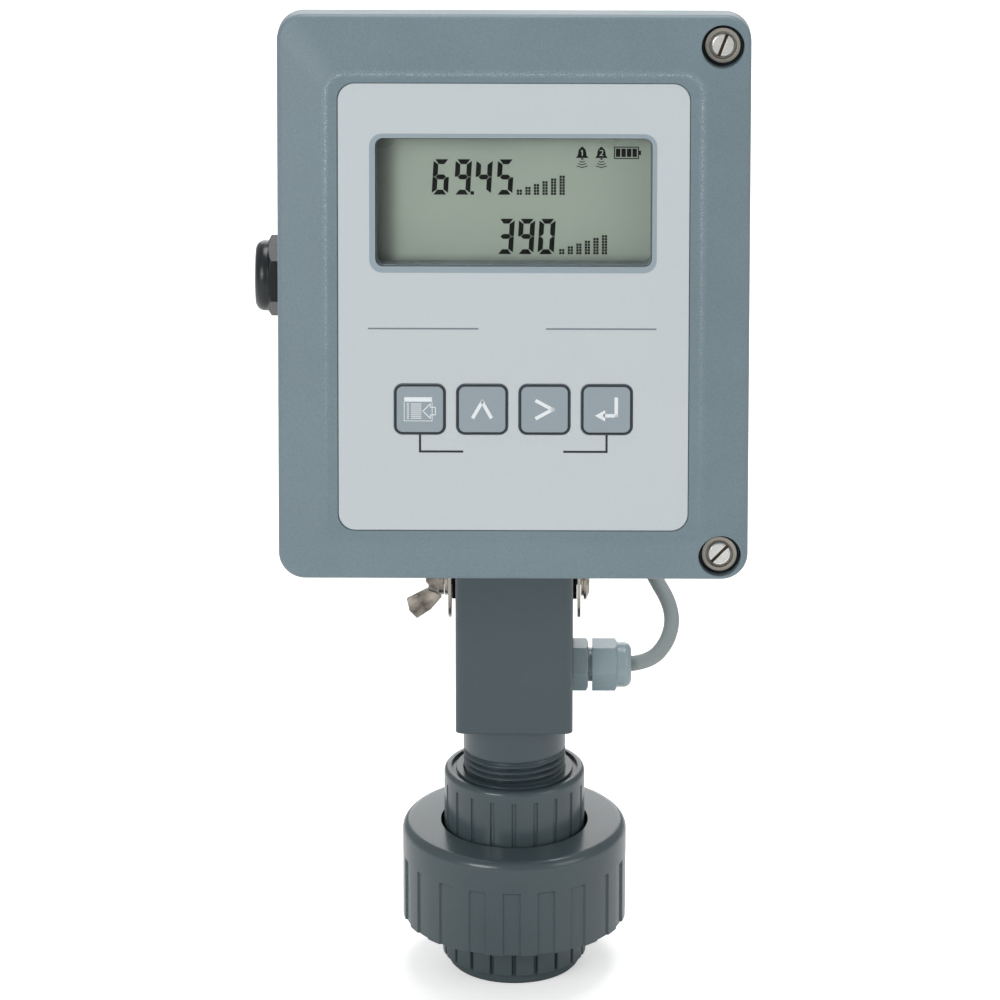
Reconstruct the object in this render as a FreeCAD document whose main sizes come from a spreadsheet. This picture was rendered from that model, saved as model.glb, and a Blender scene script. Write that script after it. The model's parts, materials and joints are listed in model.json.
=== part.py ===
import FreeCAD, Part
import math
import os
from types import SimpleNamespace

import Sketcher

# A flow monitor on a swivel stem. Lengths are in millimetres, angles in degrees.
# The origin is the centre of the union's bottom face and Z points up, along the stem.
# The housing, and all that it carries, is drawn in a frame of its own: its origin is on the swivel bolt,
# X runs along the bolt, Z up the back of the housing, and Y into the back, so a depth in front of the bolt
# is a negative Y. That frame leans back by rest_lean about the bolt.

SIZES = {
    # Union lower body
    "hub_ring_radius": 21.4,
    "hub_ring_height": 4.0,
    "hub_radius": 23.6,
    "hub_groove_depth": 1.0,
    "hub_groove_width": 1.5,
    "hub_groove_count": 20,
    "collar_radius": 30.6,
    "collar_bottom": 19.0,
    "collar_top": 33.0,
    "pipe_radius": 16.7,
    "pipe_thread_depth": 18.0,
    "pipe_bore_radius": 12.2,
    "oring_radius": 20.5,
    "oring_section": 1.6,
    "turned_chamfer": 0.8,
    # Union nut
    "nut_bottom": 17.2,
    "nut_top": 50.3,
    "nut_radius": 36.7,
    "nut_groove_depth": 0.9,
    "nut_groove_width": 4.6,
    "nut_groove_count": 14,
    "nut_groove_top": 39.5,
    "nut_rest_turn": 5.5,
    "nut_bore_radius": 24.1,
    "nut_edge_radius": 3.0,
    "thread_gap": 0.3,
    # Union tailpiece
    "tail_radius": 23.0,
    "tail_top": 69.3,
    "tail_edge_radius": 1.6,
    "tail_groove_bottom": 46.0,
    "tail_groove_top": 65.3,
    "tail_groove_depth": 0.5,
    "tail_flange_radius": 28.5,
    "tail_flange_height": 6.0,
    "tail_face_groove": 1.0,
    "face_gap": 0.2,
    # Nipple and adapter block
    "thread_engagement": 12.0,
    "block_width": 38.1,
    "block_bottom": 88.7,
    "block_above_bolt": 12.4,
    "block_edge_radius": 2.5,
    "block_cavity_top": 116.0,
    "bolt_height": 136.6,
    "stem_gland_height": 105.3,
    # Cable glands of the sensor cable
    "gland_hex": 15.0,
    "gland_flange": 5.0,
    "gland_thread_radius": 6.1,
    "gland_neck_radius": 5.6,
    "gland_neck_length": 12.0,
    "gland_nut_start": 6.3,
    "gland_nut_hex_end": 14.4,
    "gland_length": 19.1,
    "gland_dome_radius": 7.35,
    "gland_dome_edge": 2.6,
    "gland_front_wall": 1.6,
    "gland_bore_radius": 4.6,
    "gland_mouth_radius": 2.75,
    "cable_radius": 2.5,
    "cable_clearance": 0.08,
    "cable_hold": 5.1,
    "cable_lead": 5.3,
    "cable_rear_lead": 9.0,
    # Swivel hardware on the bolt
    "bolt_radius": 3.0,
    "bolt_hole_clearance": 0.08,
    "bolt_end": 28.9,
    "bolt_head_radius": 7.8,
    "bolt_head_height": 1.9,
    "rubber_washer_radius": 7.6,
    "rubber_washer_thickness": 1.2,
    "bolt_washer_radius": 6.6,
    "bolt_washer_thickness": 0.8,
    "lock_washer_radius": 6.4,
    "lock_washer_thickness": 1.1,
    "wing_hub_radius": 6.3,
    "wing_hub_height": 5.0,
    "wing_hub_crown": 5.0,
    "wing_root": 4.5,
    "wing_base": 7.3,
    "wing_side": 11.5,
    "wing_side_rise": 4.2,
    "wing_span": 14.8,
    "wing_tip_rise": 8.8,
    "wing_corner": 12.1,
    "wing_corner_rise": 11.3,
    "wing_top": 8.4,
    "wing_rise": 12.1,
    "wing_thickness": 2.0,
    # Swivel bracket
    "sheet_thickness": 1.0,
    "ear_radius": 13.6,
    "ear_root_top": 51.0,
    "bracket_bottom": 25.0,
    "bracket_top": 68.0,
    "bracket_screw_spread": 26.0,
    "bracket_screw_low": 36.0,
    "bracket_screw_high": 60.0,
    "bracket_screw_radius": 2.0,
    "bracket_screw_head": 3.5,
    "bracket_screw_head_height": 2.4,
    "bracket_screw_length": 7.0,
    # Housing: depths are measured forward from the bolt, heights up the housing's back
    "rest_lean": 10.0,
    "cover_width": 147.6,
    "cover_bottom": 16.5,
    "cover_top": 195.7,
    "cover_corner": 8.3,
    "cover_edge_depth": 81.7,
    "parting_depth": 71.0,
    "back_depth": 24.0,
    "base_inset": 7.0,
    "base_low_inset": 5.0,
    "base_corner": 16.0,
    "wall": 3.0,
    "cover_gap": 0.2,
    # Raised centre panel of the cover, and the label in it
    "panel_depth": 86.0,
    "panel_width": 118.8,
    "panel_bottom": 28.8,
    "panel_top": 178.4,
    "panel_corner": 6.0,
    "ridge_radius": 8.0,
    "eaves_radius": 2.0,
    "label_width": 109.4,
    "label_bottom": 33.2,
    "label_top": 174.7,
    "label_corner": 5.3,
    "label_thickness": 0.4,
    "label_recess": 0.5,
    "label_gap": 0.3,
    # Display
    "window_width": 86.4,
    "window_bottom": 117.0,
    "window_top": 157.7,
    "window_corner": 2.6,
    "pane_margin": 3.0,
    "pane_thickness": 1.2,
    "lcd_margin": 1.0,
    "lcd_thickness": 2.5,
    "lcd_frame_margin": 4.0,
    "lcd_setback": 9.0,
    "lcd_frame_lip": 0.6,
    "lcd_frame_base": 2.5,
    "collar_wall": 1.6,
    "collar_gap": 0.3,
    # Keys
    "key_size": 15.95,
    "key_corner": 2.6,
    "key_pitch": 19.5,
    "key_height": 71.8,
    "key_thickness": 2.2,
    "key_proud": 0.2,
    "key_gap": 0.2,
    "key_travel": 0.4,
    "key_stem_radius": 2.5,
    "key_stem_length": 2.8,
    # Electronics
    "board_width": 108.0,
    "board_bottom": 36.0,
    "board_top": 172.0,
    "board_thickness": 1.6,
    "post_radius": 3.5,
    "post_inset": 5.0,
    "board_screw_radius": 1.2,
    "board_screw_head": 2.7,
    "board_screw_head_height": 1.8,
    "board_screw_length": 5.0,
    "switch_width": 6.0,
    "switch_height": 3.4,
    "plunger_radius": 1.75,
    "plunger_gap": 0.5,
    "terminal_left": 2.0,
    "terminal_low": 42.0,
    "terminal_height": 12.0,
    "terminal_depth": 10.0,
    "terminal_pitch": 5.08,
    "terminal_entry_radius": 1.7,
    "terminal_ways": 8,
    # Battery
    "battery_radius": 17.1,
    "battery_length": 60.0,
    "battery_nub": 1.5,
    "battery_margin": 14.6,
    "battery_left": -46.0,
    "holder_wall": 2.0,
    # Cover screws
    "screw_inset": 8.9,
    "screw_low_inset": 7.9,
    "screw_top_inset": 9.7,
    "screw_radius": 2.0,
    "screw_head_radius": 3.75,
    "screw_head_height": 2.3,
    "screw_slot": 1.0,
    "screw_tip_depth": 63.0,
    "screw_recess_radius": 6.7,
    "screw_recess_floor": 76.9,
    "ferrule_radius": 5.5,
    "ferrule_height": 2.4,
    "ferrule_rim": 1.1,
    "ferrule_floor": 0.6,
    "screw_clearance": 0.4,
    "lug_radius": 5.9,
    "lug_back_depth": 52.0,
    "insert_radius": 3.3,
    "insert_length": 11.0,
    "clip_radius": 3.4,
    "clip_thickness": 0.8,
    "clip_depth": 68.0,
    "clip_space_radius": 3.9,
    "clip_space_depth": 4.0,
    "clip_space_cover": 3.7,
    # Hinges
    "knuckle_radius": 2.8,
    "knuckle_length": 8.0,
    "knuckle_gap": 0.3,
    "hinge_pin_radius": 1.0,
    "hinge_pin_clearance": 0.05,
    "hinge_wall_gap": 0.4,
    "hinge_inset": 35.0,
    # Seal
    "gasket_thickness": 2.0,
    "gasket_inset": 0.8,
    "gasket_width": 2.0,
    # Side gland
    "side_gland_height": 107.1,
    "side_gland_depth": 46.0,
    "side_gland_hex": 22.5,
    "side_gland_flange": 4.0,
    "side_gland_gap": 0.6,
    "side_gland_hex_end": 11.0,
    "side_gland_length": 15.1,
    "side_gland_dome_radius": 11.2,
    "side_gland_thread_radius": 9.9,
    "side_gland_neck_radius": 9.2,
    "side_gland_mouth_radius": 5.0,
    "side_gland_dome_edge": 3.0,
    # Rear gland
    "rear_gland_side": 36.0,
    "rear_gland_height": 34.0,
    "locknut_thickness": 3.0,
}

ROOT3 = math.sqrt(3)
# Two places this close are the same place
NEAR = 0.01
# How far a cutting outline runs on past the solid it cuts
BEYOND = 1.0


class Size:
    """A size of the sheet, or one worked out from several: its expression and its number."""

    def __init__(self, text, number):
        self.text = text
        self.number = number

    def __add__(self, other):
        other = as_size(other)
        return Size(f"({self.text} + {other.text})", self.number + other.number)

    def __radd__(self, other):
        return as_size(other) + self

    def __sub__(self, other):
        other = as_size(other)
        return Size(f"({self.text} - {other.text})", self.number - other.number)

    def __rsub__(self, other):
        return as_size(other) - self

    def __mul__(self, other):
        other = as_size(other)
        return Size(f"({self.text} * {other.text})", self.number * other.number)

    def __rmul__(self, other):
        return as_size(other) * self

    def __truediv__(self, other):
        other = as_size(other)
        return Size(f"({self.text} / {other.text})", self.number / other.number)

    def __neg__(self):
        return Size(f"(0 - {self.text})", -self.number)

    def __float__(self):
        return float(self.number)


def as_size(value):
    if isinstance(value, Size):
        return value
    return Size(f"({value:.6f})", value)


doc = FreeCAD.newDocument("flow_monitor")
sheet = doc.addObject("Spreadsheet::Sheet", "sizes")
for row, (name, value) in enumerate(SIZES.items(), start=1):
    sheet.set(f"A{row}", name)
    sheet.set(f"B{row}", str(value))
    sheet.setAlias(f"B{row}", name)
doc.recompute()
S = SimpleNamespace(**{name: Size(f"sizes.{name}", getattr(sheet, name)) for name in SIZES})

nodes = []


# Frames

def placement(x=0, y=0, z=0, axis=(0, 0, 1), angle=0):
    base = FreeCAD.Vector(float(x), float(y), float(z))
    return FreeCAD.Placement(base, FreeCAD.Rotation(FreeCAD.Vector(*axis), float(angle)))


STEM = placement()
BOLT = placement(z=S.bolt_height)
HOUSING = placement(z=S.bolt_height, axis=(1, 0, 0), angle=-S.rest_lean)


# Sketches

def hold(sketch, kind, item, point, size):
    """Ties one coordinate of a point to a size."""
    size = as_size(size)
    if size.number == 0:
        axis = -2 if kind == "DistanceX" else -1
        sketch.addConstraint(Sketcher.Constraint("PointOnObject", item, point, axis))
        return
    index = sketch.addConstraint(Sketcher.Constraint(kind, -1, 1, item, point, size.number))
    sketch.setExpression(f"Constraints[{index}]", size.text)


def hold_point(sketch, item, point, across, up):
    hold(sketch, "DistanceX", item, point, across)
    hold(sketch, "DistanceY", item, point, up)


def hold_radius(sketch, item, radius):
    radius = as_size(radius)
    index = sketch.addConstraint(Sketcher.Constraint("Radius", item, radius.number))
    sketch.setExpression(f"Constraints[{index}]", radius.text)


def flat(across, up):
    return FreeCAD.Vector(float(across), float(up), 0)


def outline(sketch, points):
    """Closes straight lines through points that are each held by two coordinates."""
    corners = [flat(*point) for point in points]
    first = sketch.GeometryCount
    count = len(points)
    for i in range(count):
        sketch.addGeometry(Part.LineSegment(corners[i], corners[(i + 1) % count]))
    for i in range(count):
        following = first + (i + 1) % count
        sketch.addConstraint(Sketcher.Constraint("Coincident", first + i, 2, following, 1))
    for i, (across, up) in enumerate(points):
        hold_point(sketch, first + i, 1, across, up)


def circle(sketch, across, up, radius):
    item = sketch.addGeometry(Part.Circle(flat(across, up), FreeCAD.Vector(0, 0, 1), float(radius)))
    hold_point(sketch, item, 3, across, up)
    hold_radius(sketch, item, radius)


def round_box(sketch, left, right, low, high, radius):
    """A rectangle whose corners are arcs."""
    corners = [
        (left + radius, low + radius, 180),
        (right - radius, low + radius, 270),
        (right - radius, high - radius, 0),
        (left + radius, high - radius, 90),
    ]
    first = sketch.GeometryCount
    ends = []
    for across, up, start in corners:
        centre = flat(across, up)
        whole = Part.Circle(centre, FreeCAD.Vector(0, 0, 1), float(radius))
        begin, end = math.radians(start), math.radians(start + 90)
        sketch.addGeometry(Part.ArcOfCircle(whole, begin, end))
        ends.append((whole.value(begin), whole.value(end)))
    for i in range(4):
        sketch.addGeometry(Part.LineSegment(ends[i][1], ends[(i + 1) % 4][0]))
    for i in range(4):
        line = first + 4 + i
        sketch.addConstraint(Sketcher.Constraint("Tangent", first + i, 2, line, 1))
        sketch.addConstraint(Sketcher.Constraint("Tangent", line, 2, first + (i + 1) % 4, 1))
    for i, (across, up, start) in enumerate(corners):
        hold_point(sketch, first + i, 3, across, up)
        hold_radius(sketch, first + i, radius)


def tongue(sketch, start, end, centre, radius):
    """Two lines from the points start and end, tangent to an arc round the centre."""
    middle = flat(*centre)
    reach = float(radius)

    def touch(point, side):
        away = flat(*point) - middle
        turn = math.acos(reach / away.Length) * side
        angle = math.atan2(away.y, away.x) + turn
        return angle, middle + FreeCAD.Vector(math.cos(angle), math.sin(angle), 0) * reach

    first_angle, first_touch = touch(start, 1)
    last_angle, last_touch = touch(end, -1)
    first = sketch.GeometryCount
    whole = Part.Circle(middle, FreeCAD.Vector(0, 0, 1), reach)
    sketch.addGeometry(Part.LineSegment(flat(*start), first_touch))
    sketch.addGeometry(Part.ArcOfCircle(whole, first_angle, last_angle))
    sketch.addGeometry(Part.LineSegment(last_touch, flat(*end)))
    sketch.addGeometry(Part.LineSegment(flat(*end), flat(*start)))
    sketch.addConstraint(Sketcher.Constraint("Tangent", first, 2, first + 1, 1))
    sketch.addConstraint(Sketcher.Constraint("Tangent", first + 1, 2, first + 2, 1))
    sketch.addConstraint(Sketcher.Constraint("Coincident", first + 2, 2, first + 3, 1))
    sketch.addConstraint(Sketcher.Constraint("Coincident", first + 3, 2, first, 1))
    hold_point(sketch, first, 1, *start)
    hold_point(sketch, first + 2, 2, *end)
    hold_point(sketch, first + 1, 3, *centre)
    hold_radius(sketch, first + 1, radius)


def hexagon(sketch, across_flats, across=0, up=0):
    """A regular hexagon with a flat at the top and at the bottom."""
    half = as_size(across_flats) / 2
    side = half * (2 / ROOT3)
    outline(sketch, [
        (across + side, up),
        (across + side / 2, up + half),
        (across - side / 2, up + half),
        (across - side, up),
        (across - side / 2, up - half),
        (across + side / 2, up - half),
    ])


class Piece:
    """One solid of the model: a body, its sketches and its features."""

    def __init__(self, label, frame, keep=True):
        self.body = doc.addObject("PartDesign::Body", label)
        self.body.Label = label
        self.frame = frame
        if keep:
            nodes.append(self.body)

    def sketch(self, plane, offset=0):
        base = next(item for item in self.body.Origin.OriginFeatures if item.Role == plane)
        sketch = self.body.newObject("Sketcher::SketchObject", "outline")
        sketch.AttachmentSupport = [(base, "")]
        sketch.MapMode = "FlatFace"
        sketch.setExpression(".AttachmentOffset.Base.z", as_size(offset).text)
        return sketch

    def level(self, height=0):
        """A sketch seen from above, at a height: pads rise from it and cuts go down."""
        return self.sketch("XY_Plane", height)

    def face(self, depth=0):
        """A sketch seen from the front, at a depth in front of the bolt: pads come forward from it."""
        return self.sketch("XZ_Plane", depth)

    def side(self, across=0):
        """A sketch seen from the right, across is up to the right: pads go right from it."""
        return self.sketch("YZ_Plane", across)

    def feature(self, kind, sketch, **values):
        feature = self.body.newObject(f"PartDesign::{kind}", kind)
        feature.Profile = sketch
        for name, value in values.items():
            if isinstance(value, Size):
                feature.setExpression(name, value.text)
            else:
                setattr(feature, name, value)
        return feature

    def pad(self, sketch, length):
        return self.feature("Pad", sketch, Length=as_size(length))

    def cut(self, sketch, length, forward=False):
        return self.feature("Pocket", sketch, Length=as_size(length), Reversed=forward)

    def turn(self, sketch, axis="V_Axis"):
        return self.feature("Revolution", sketch, ReferenceAxis=(sketch, [axis]), Angle=360.0)

    def turn_away(self, sketch, axis="V_Axis"):
        return self.feature("Groove", sketch, ReferenceAxis=(sketch, [axis]), Angle=360.0)

    def loft(self, low, high):
        feature = self.feature("AdditiveLoft", low, Ruled=True)
        feature.Sections = [high]
        return feature

    def edges(self, chosen):
        doc.recompute()
        shape = self.body.Tip.Shape
        return [f"Edge{i}" for i, edge in enumerate(shape.Edges, start=1) if chosen(edge)]

    def fillet(self, radius, chosen):
        names = self.edges(chosen)
        base = self.body.Tip
        feature = self.body.newObject("PartDesign::Fillet", "Fillet")
        feature.Base = (base, names)
        feature.setExpression("Radius", as_size(radius).text)
        return feature

    def repeat_round(self, feature, count):
        pattern = self.body.newObject("PartDesign::PolarPattern", "Pattern")
        axis = next(item for item in self.body.Origin.OriginFeatures if item.Role == "Z_Axis")
        pattern.Originals = [feature]
        pattern.Axis = (axis, [""])
        pattern.Angle = 360
        pattern.setExpression("Occurrences", as_size(count).text)
        self.body.Tip = pattern
        return pattern

    def repeat_along(self, feature, role, length, count):
        pattern = self.body.newObject("PartDesign::LinearPattern", "Pattern")
        axis = next(item for item in self.body.Origin.OriginFeatures if item.Role == role)
        pattern.Originals = [feature]
        pattern.Direction = (axis, [""])
        pattern.setExpression("Length", as_size(length).text)
        pattern.setExpression("Occurrences", as_size(count).text)
        self.body.Tip = pattern
        return pattern

    def finish(self):
        self.body.Placement = self.frame
        return self.body


def group(label, template, places, frame):
    """Several equal solids that share one node."""
    doc.recompute()
    solids = []
    for place in places:
        copy = template.Shape.copy()
        copy.Placement = place
        solids.append(copy)
    item = doc.addObject("Part::Feature", label)
    item.Shape = Part.makeCompound(solids)
    item.Placement = frame
    nodes.append(item)
    return item


def cut_grooves(piece, radius, depth, width, low, high, count):
    """Upright grooves with sloping sides in a round wall, which leave wide ribs between them."""
    sketch = piece.level(high)
    floor, mouth = radius - depth, radius + BEYOND
    narrow, wide = (width - depth) / 2, (width + BEYOND) / 2
    outline(sketch, [(floor, -narrow), (mouth, -wide), (mouth, wide), (floor, narrow)])
    groove = piece.cut(sketch, high - low)
    piece.repeat_round(groove, count)


def on_circle(radius, height, vertical="z"):
    """Picks the round edges of a radius at a height along an axis."""
    def chosen(edge):
        curve = edge.Curve
        if not isinstance(curve, Part.Circle):
            return False
        centre_height = getattr(curve.Center, vertical)
        return abs(curve.Radius - float(radius)) < NEAR and abs(centre_height - float(height)) < NEAR
    return chosen


def at_depth(depth, direction="y"):
    """Picks the edges that lie wholly at one coordinate."""
    def chosen(edge):
        box = edge.BoundBox
        low = getattr(box, direction.upper() + "Min")
        high = getattr(box, direction.upper() + "Max")
        return abs(low - float(depth)) < NEAR and abs(high - float(depth)) < NEAR
    return chosen


# Union

def union_lower_body():
    piece = Piece("union_lower_body", STEM)
    edge = S.turned_chamfer
    profile = piece.face()
    outline(profile, [
        (S.pipe_radius, 0),
        (S.hub_ring_radius - edge, 0),
        (S.hub_ring_radius, edge),
        (S.hub_ring_radius, S.hub_ring_height),
        (S.hub_radius, S.hub_ring_height),
        (S.hub_radius, S.collar_bottom),
        (S.collar_radius - edge, S.collar_bottom),
        (S.collar_radius, S.collar_bottom + edge),
        (S.collar_radius, S.collar_top - edge),
        (S.collar_radius - edge, S.collar_top),
        (S.pipe_bore_radius, S.collar_top),
        (S.pipe_bore_radius, S.pipe_thread_depth),
        (S.pipe_radius, S.pipe_thread_depth),
    ])
    piece.turn(profile)
    seat = piece.face()
    inner = S.oring_radius - S.oring_section
    outer = S.oring_radius + S.oring_section
    floor = S.collar_top - 2 * S.oring_section
    outline(seat, [(inner, floor), (outer, floor), (outer, S.collar_top), (inner, S.collar_top)])
    piece.turn_away(seat)
    depth, width = S.hub_groove_depth, S.hub_groove_width
    cut_grooves(piece, S.hub_radius, depth, width, S.hub_ring_height, S.collar_bottom, S.hub_groove_count)
    return piece.finish()


def union_o_ring():
    piece = Piece("union_o_ring", STEM)
    section = piece.face()
    circle(section, S.oring_radius, S.collar_top - S.oring_section, S.oring_section)
    piece.turn(section)
    return piece.finish()


FLANGE_BOTTOM = S.collar_top + S.face_gap
FLANGE_TOP = FLANGE_BOTTOM + S.tail_flange_height


def union_nut():
    piece = Piece("union_nut", placement(angle=-S.nut_rest_turn))
    inside = S.collar_radius + S.thread_gap
    shoulder = FLANGE_TOP + S.face_gap
    profile = piece.face()
    outline(profile, [
        (inside, S.nut_bottom),
        (S.nut_radius, S.nut_bottom),
        (S.nut_radius, S.nut_top),
        (S.nut_bore_radius, S.nut_top),
        (S.nut_bore_radius, shoulder),
        (inside, shoulder),
    ])
    piece.turn(profile)
    piece.fillet(S.nut_edge_radius, on_circle(S.nut_radius, S.nut_top))
    depth, width = S.nut_groove_depth, S.nut_groove_width
    cut_grooves(piece, S.nut_radius, depth, width, S.nut_bottom, S.nut_groove_top, S.nut_groove_count)
    return piece.finish()


def union_tailpiece():
    piece = Piece("union_tailpiece", STEM)
    edge = S.turned_chamfer
    seat = S.tail_top - S.thread_engagement
    profile = piece.face()
    outline(profile, [
        (S.pipe_radius, S.tail_top),
        (S.tail_radius, S.tail_top),
        (S.tail_radius, FLANGE_TOP),
        (S.tail_flange_radius, FLANGE_TOP),
        (S.tail_flange_radius, FLANGE_BOTTOM),
        (S.pipe_bore_radius, FLANGE_BOTTOM),
        (S.pipe_bore_radius, seat),
        (S.pipe_radius, seat),
    ])
    piece.turn(profile)
    piece.fillet(S.tail_edge_radius, on_circle(S.tail_radius, S.tail_top))
    groove = piece.face()
    middle = (S.pipe_radius + S.tail_radius) / 2
    floor = S.tail_top - S.tail_face_groove
    outline(groove, [
        (middle - edge, floor),
        (middle + edge, floor),
        (middle + edge, S.tail_top),
        (middle - edge, S.tail_top),
    ])
    piece.turn_away(groove)
    depth, width, low, high = S.tail_groove_depth, S.hub_groove_width, S.tail_groove_bottom, S.tail_groove_top
    cut_grooves(piece, S.tail_radius, depth, width, low, high, S.hub_groove_count)
    return piece.finish()


NIPPLE_TOP = S.stem_gland_height - S.gland_thread_radius - 3 * S.face_gap


def threaded_nipple():
    piece = Piece("threaded_nipple", STEM)
    low = S.tail_top - S.thread_engagement
    profile = piece.face()
    outline(profile, [
        (S.pipe_bore_radius, low),
        (S.pipe_radius, low),
        (S.pipe_radius, NIPPLE_TOP),
        (S.pipe_bore_radius, NIPPLE_TOP),
    ])
    piece.turn(profile)
    return piece.finish()


def adapter_block():
    piece = Piece("adapter_block", STEM)
    half = S.block_width / 2
    top = S.bolt_height + S.block_above_bolt
    body = piece.level(S.block_bottom)
    round_box(body, -half, half, -half, half, S.block_edge_radius)
    piece.pad(body, top - S.block_bottom)
    piece.fillet(S.block_edge_radius / 2, at_depth(top, "z"))
    thread = piece.level(NIPPLE_TOP)
    circle(thread, 0, 0, S.pipe_radius)
    piece.cut(thread, NIPPLE_TOP - S.block_bottom)
    cavity = piece.level(S.block_cavity_top)
    circle(cavity, 0, 0, S.pipe_bore_radius)
    piece.cut(cavity, S.block_cavity_top - S.block_bottom)
    gland = piece.side(half)
    circle(gland, 0, S.stem_gland_height, S.gland_thread_radius)
    piece.cut(gland, half)
    bolt = piece.side(half)
    circle(bolt, 0, S.bolt_height, S.bolt_radius)
    piece.cut(bolt, S.block_width)
    return piece.finish()


# Cable glands: each is drawn in a frame whose Z axis leaves the wall that it is screwed into

def chamfer_hexagon(piece, across_flats, top):
    """Turns the corners of a hexagon's top edge down to a cone, as on any nut."""
    flat_radius = across_flats / 2
    outer = flat_radius * (2 / ROOT3) + BEYOND
    corner = piece.face()
    outline(corner, [(flat_radius, top), (outer, top), (outer, top - (outer - flat_radius) / ROOT3)])
    piece.turn_away(corner)


def gland_body(label, frame, shank):
    piece = Piece(label, frame)
    flange = piece.level()
    hexagon(flange, S.gland_hex)
    piece.pad(flange, S.gland_flange)
    chamfer_hexagon(piece, S.gland_hex, S.gland_flange)
    thread = piece.level(-shank)
    circle(thread, 0, 0, S.gland_thread_radius)
    piece.pad(thread, shank)
    neck = piece.level()
    circle(neck, 0, 0, S.gland_neck_radius)
    piece.pad(neck, S.gland_neck_length)
    bore = piece.level(S.gland_neck_length)
    circle(bore, 0, 0, S.gland_bore_radius)
    piece.cut(bore, S.gland_neck_length + shank)
    return piece.finish()


def gland_nut(label, frame):
    piece = Piece(label, frame)
    sides = piece.level(S.gland_nut_start)
    hexagon(sides, S.gland_hex)
    piece.pad(sides, S.gland_nut_hex_end - S.gland_nut_start)
    chamfer_hexagon(piece, S.gland_hex, S.gland_nut_hex_end)
    dome = piece.level(S.gland_nut_start)
    circle(dome, 0, 0, S.gland_dome_radius)
    piece.pad(dome, S.gland_length - S.gland_nut_start)
    piece.fillet(S.gland_dome_edge, on_circle(S.gland_dome_radius, S.gland_length))
    thread = piece.level(S.gland_neck_length + S.face_gap)
    circle(thread, 0, 0, S.gland_neck_radius)
    piece.cut(thread, S.gland_neck_length + S.face_gap - S.gland_nut_start)
    sleeve = piece.level(S.gland_length - S.gland_front_wall)
    circle(sleeve, 0, 0, S.gland_bore_radius)
    piece.cut(sleeve, S.gland_length)
    mouth = piece.level(S.gland_length)
    circle(mouth, 0, 0, S.gland_mouth_radius)
    piece.cut(mouth, S.gland_length)
    return piece.finish()


def gland_seal(label, frame):
    piece = Piece(label, frame)
    sleeve = piece.level(S.gland_flange)
    circle(sleeve, 0, 0, S.gland_bore_radius)
    circle(sleeve, 0, 0, S.cable_radius + S.cable_clearance)
    piece.pad(sleeve, S.gland_length - S.gland_front_wall - S.gland_flange)
    return piece.finish()


def locknut(label, frame, wall, across_flats, bore):
    piece = Piece(label, frame)
    ring = piece.level(-wall - S.locknut_thickness)
    hexagon(ring, across_flats)
    circle(ring, 0, 0, bore)
    piece.pad(ring, S.locknut_thickness)
    return piece.finish()


def stem_gland_frame():
    seat = placement(S.block_width / 2, 0, S.stem_gland_height, (0, 1, 0), 90)
    return seat * placement(angle=90)


def rear_gland_frame():
    return HOUSING * placement(S.rear_gland_side, -S.back_depth, S.rear_gland_height, (1, 0, 0), -90)


def stem_gland():
    frame = stem_gland_frame()
    gland_body("stem_gland_body", frame, S.block_width / 2 - S.pipe_bore_radius)
    gland_nut("stem_gland_nut", frame)
    gland_seal("stem_gland_seal", frame)


def rear_gland():
    frame = rear_gland_frame()
    gland_body("rear_gland_body", frame, S.wall + S.locknut_thickness)
    gland_nut("rear_gland_nut", frame)
    gland_seal("rear_gland_seal", frame)
    locknut("rear_gland_locknut", frame, S.wall, S.gland_hex, S.gland_thread_radius)


def side_gland():
    wall_face = S.cover_width / 2 - S.base_inset
    seat = placement(-wall_face, -S.side_gland_depth, S.side_gland_height, (0, 1, 0), -90)
    frame = HOUSING * seat
    shank = S.wall + S.locknut_thickness
    nut_start = S.side_gland_flange + S.side_gland_gap

    piece = Piece("side_gland_body", frame)
    flange = piece.level()
    hexagon(flange, S.side_gland_hex)
    piece.pad(flange, S.side_gland_flange)
    chamfer_hexagon(piece, S.side_gland_hex, S.side_gland_flange)
    thread = piece.level(-shank)
    circle(thread, 0, 0, S.side_gland_thread_radius)
    piece.pad(thread, shank)
    neck = piece.level()
    circle(neck, 0, 0, S.side_gland_neck_radius)
    piece.pad(neck, S.side_gland_hex_end)
    bore = piece.level(S.side_gland_hex_end)
    circle(bore, 0, 0, S.side_gland_mouth_radius)
    piece.cut(bore, S.side_gland_hex_end + shank)
    piece.finish()

    piece = Piece("side_gland_nut", frame)
    sides = piece.level(nut_start)
    hexagon(sides, S.side_gland_hex)
    piece.pad(sides, S.side_gland_hex_end - nut_start)
    chamfer_hexagon(piece, S.side_gland_hex, S.side_gland_hex_end)
    dome = piece.level(nut_start)
    circle(dome, 0, 0, S.side_gland_dome_radius)
    piece.pad(dome, S.side_gland_length - nut_start)
    piece.fillet(S.side_gland_dome_edge, on_circle(S.side_gland_dome_radius, S.side_gland_length))
    inside = piece.level(S.side_gland_hex_end)
    circle(inside, 0, 0, S.side_gland_neck_radius)
    piece.cut(inside, S.side_gland_hex_end)
    mouth = piece.level(S.side_gland_length)
    circle(mouth, 0, 0, S.side_gland_mouth_radius)
    piece.cut(mouth, S.side_gland_length)
    piece.finish()

    piece = Piece("side_gland_plug", frame)
    stopper = piece.level()
    circle(stopper, 0, 0, S.side_gland_mouth_radius)
    piece.pad(stopper, S.side_gland_length - S.turned_chamfer)
    piece.finish()
    locknut("side_gland_locknut", frame, S.wall, S.side_gland_hex, S.side_gland_thread_radius)


# Swivel hardware: distances along the bolt are measured from the middle of the block

BLOCK_FACE = S.block_width / 2
EAR_INNER = BLOCK_FACE + S.rubber_washer_thickness + S.face_gap
EAR_OUTER = EAR_INNER + S.sheet_thickness
WASHER_START = EAR_OUTER + S.face_gap


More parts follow.
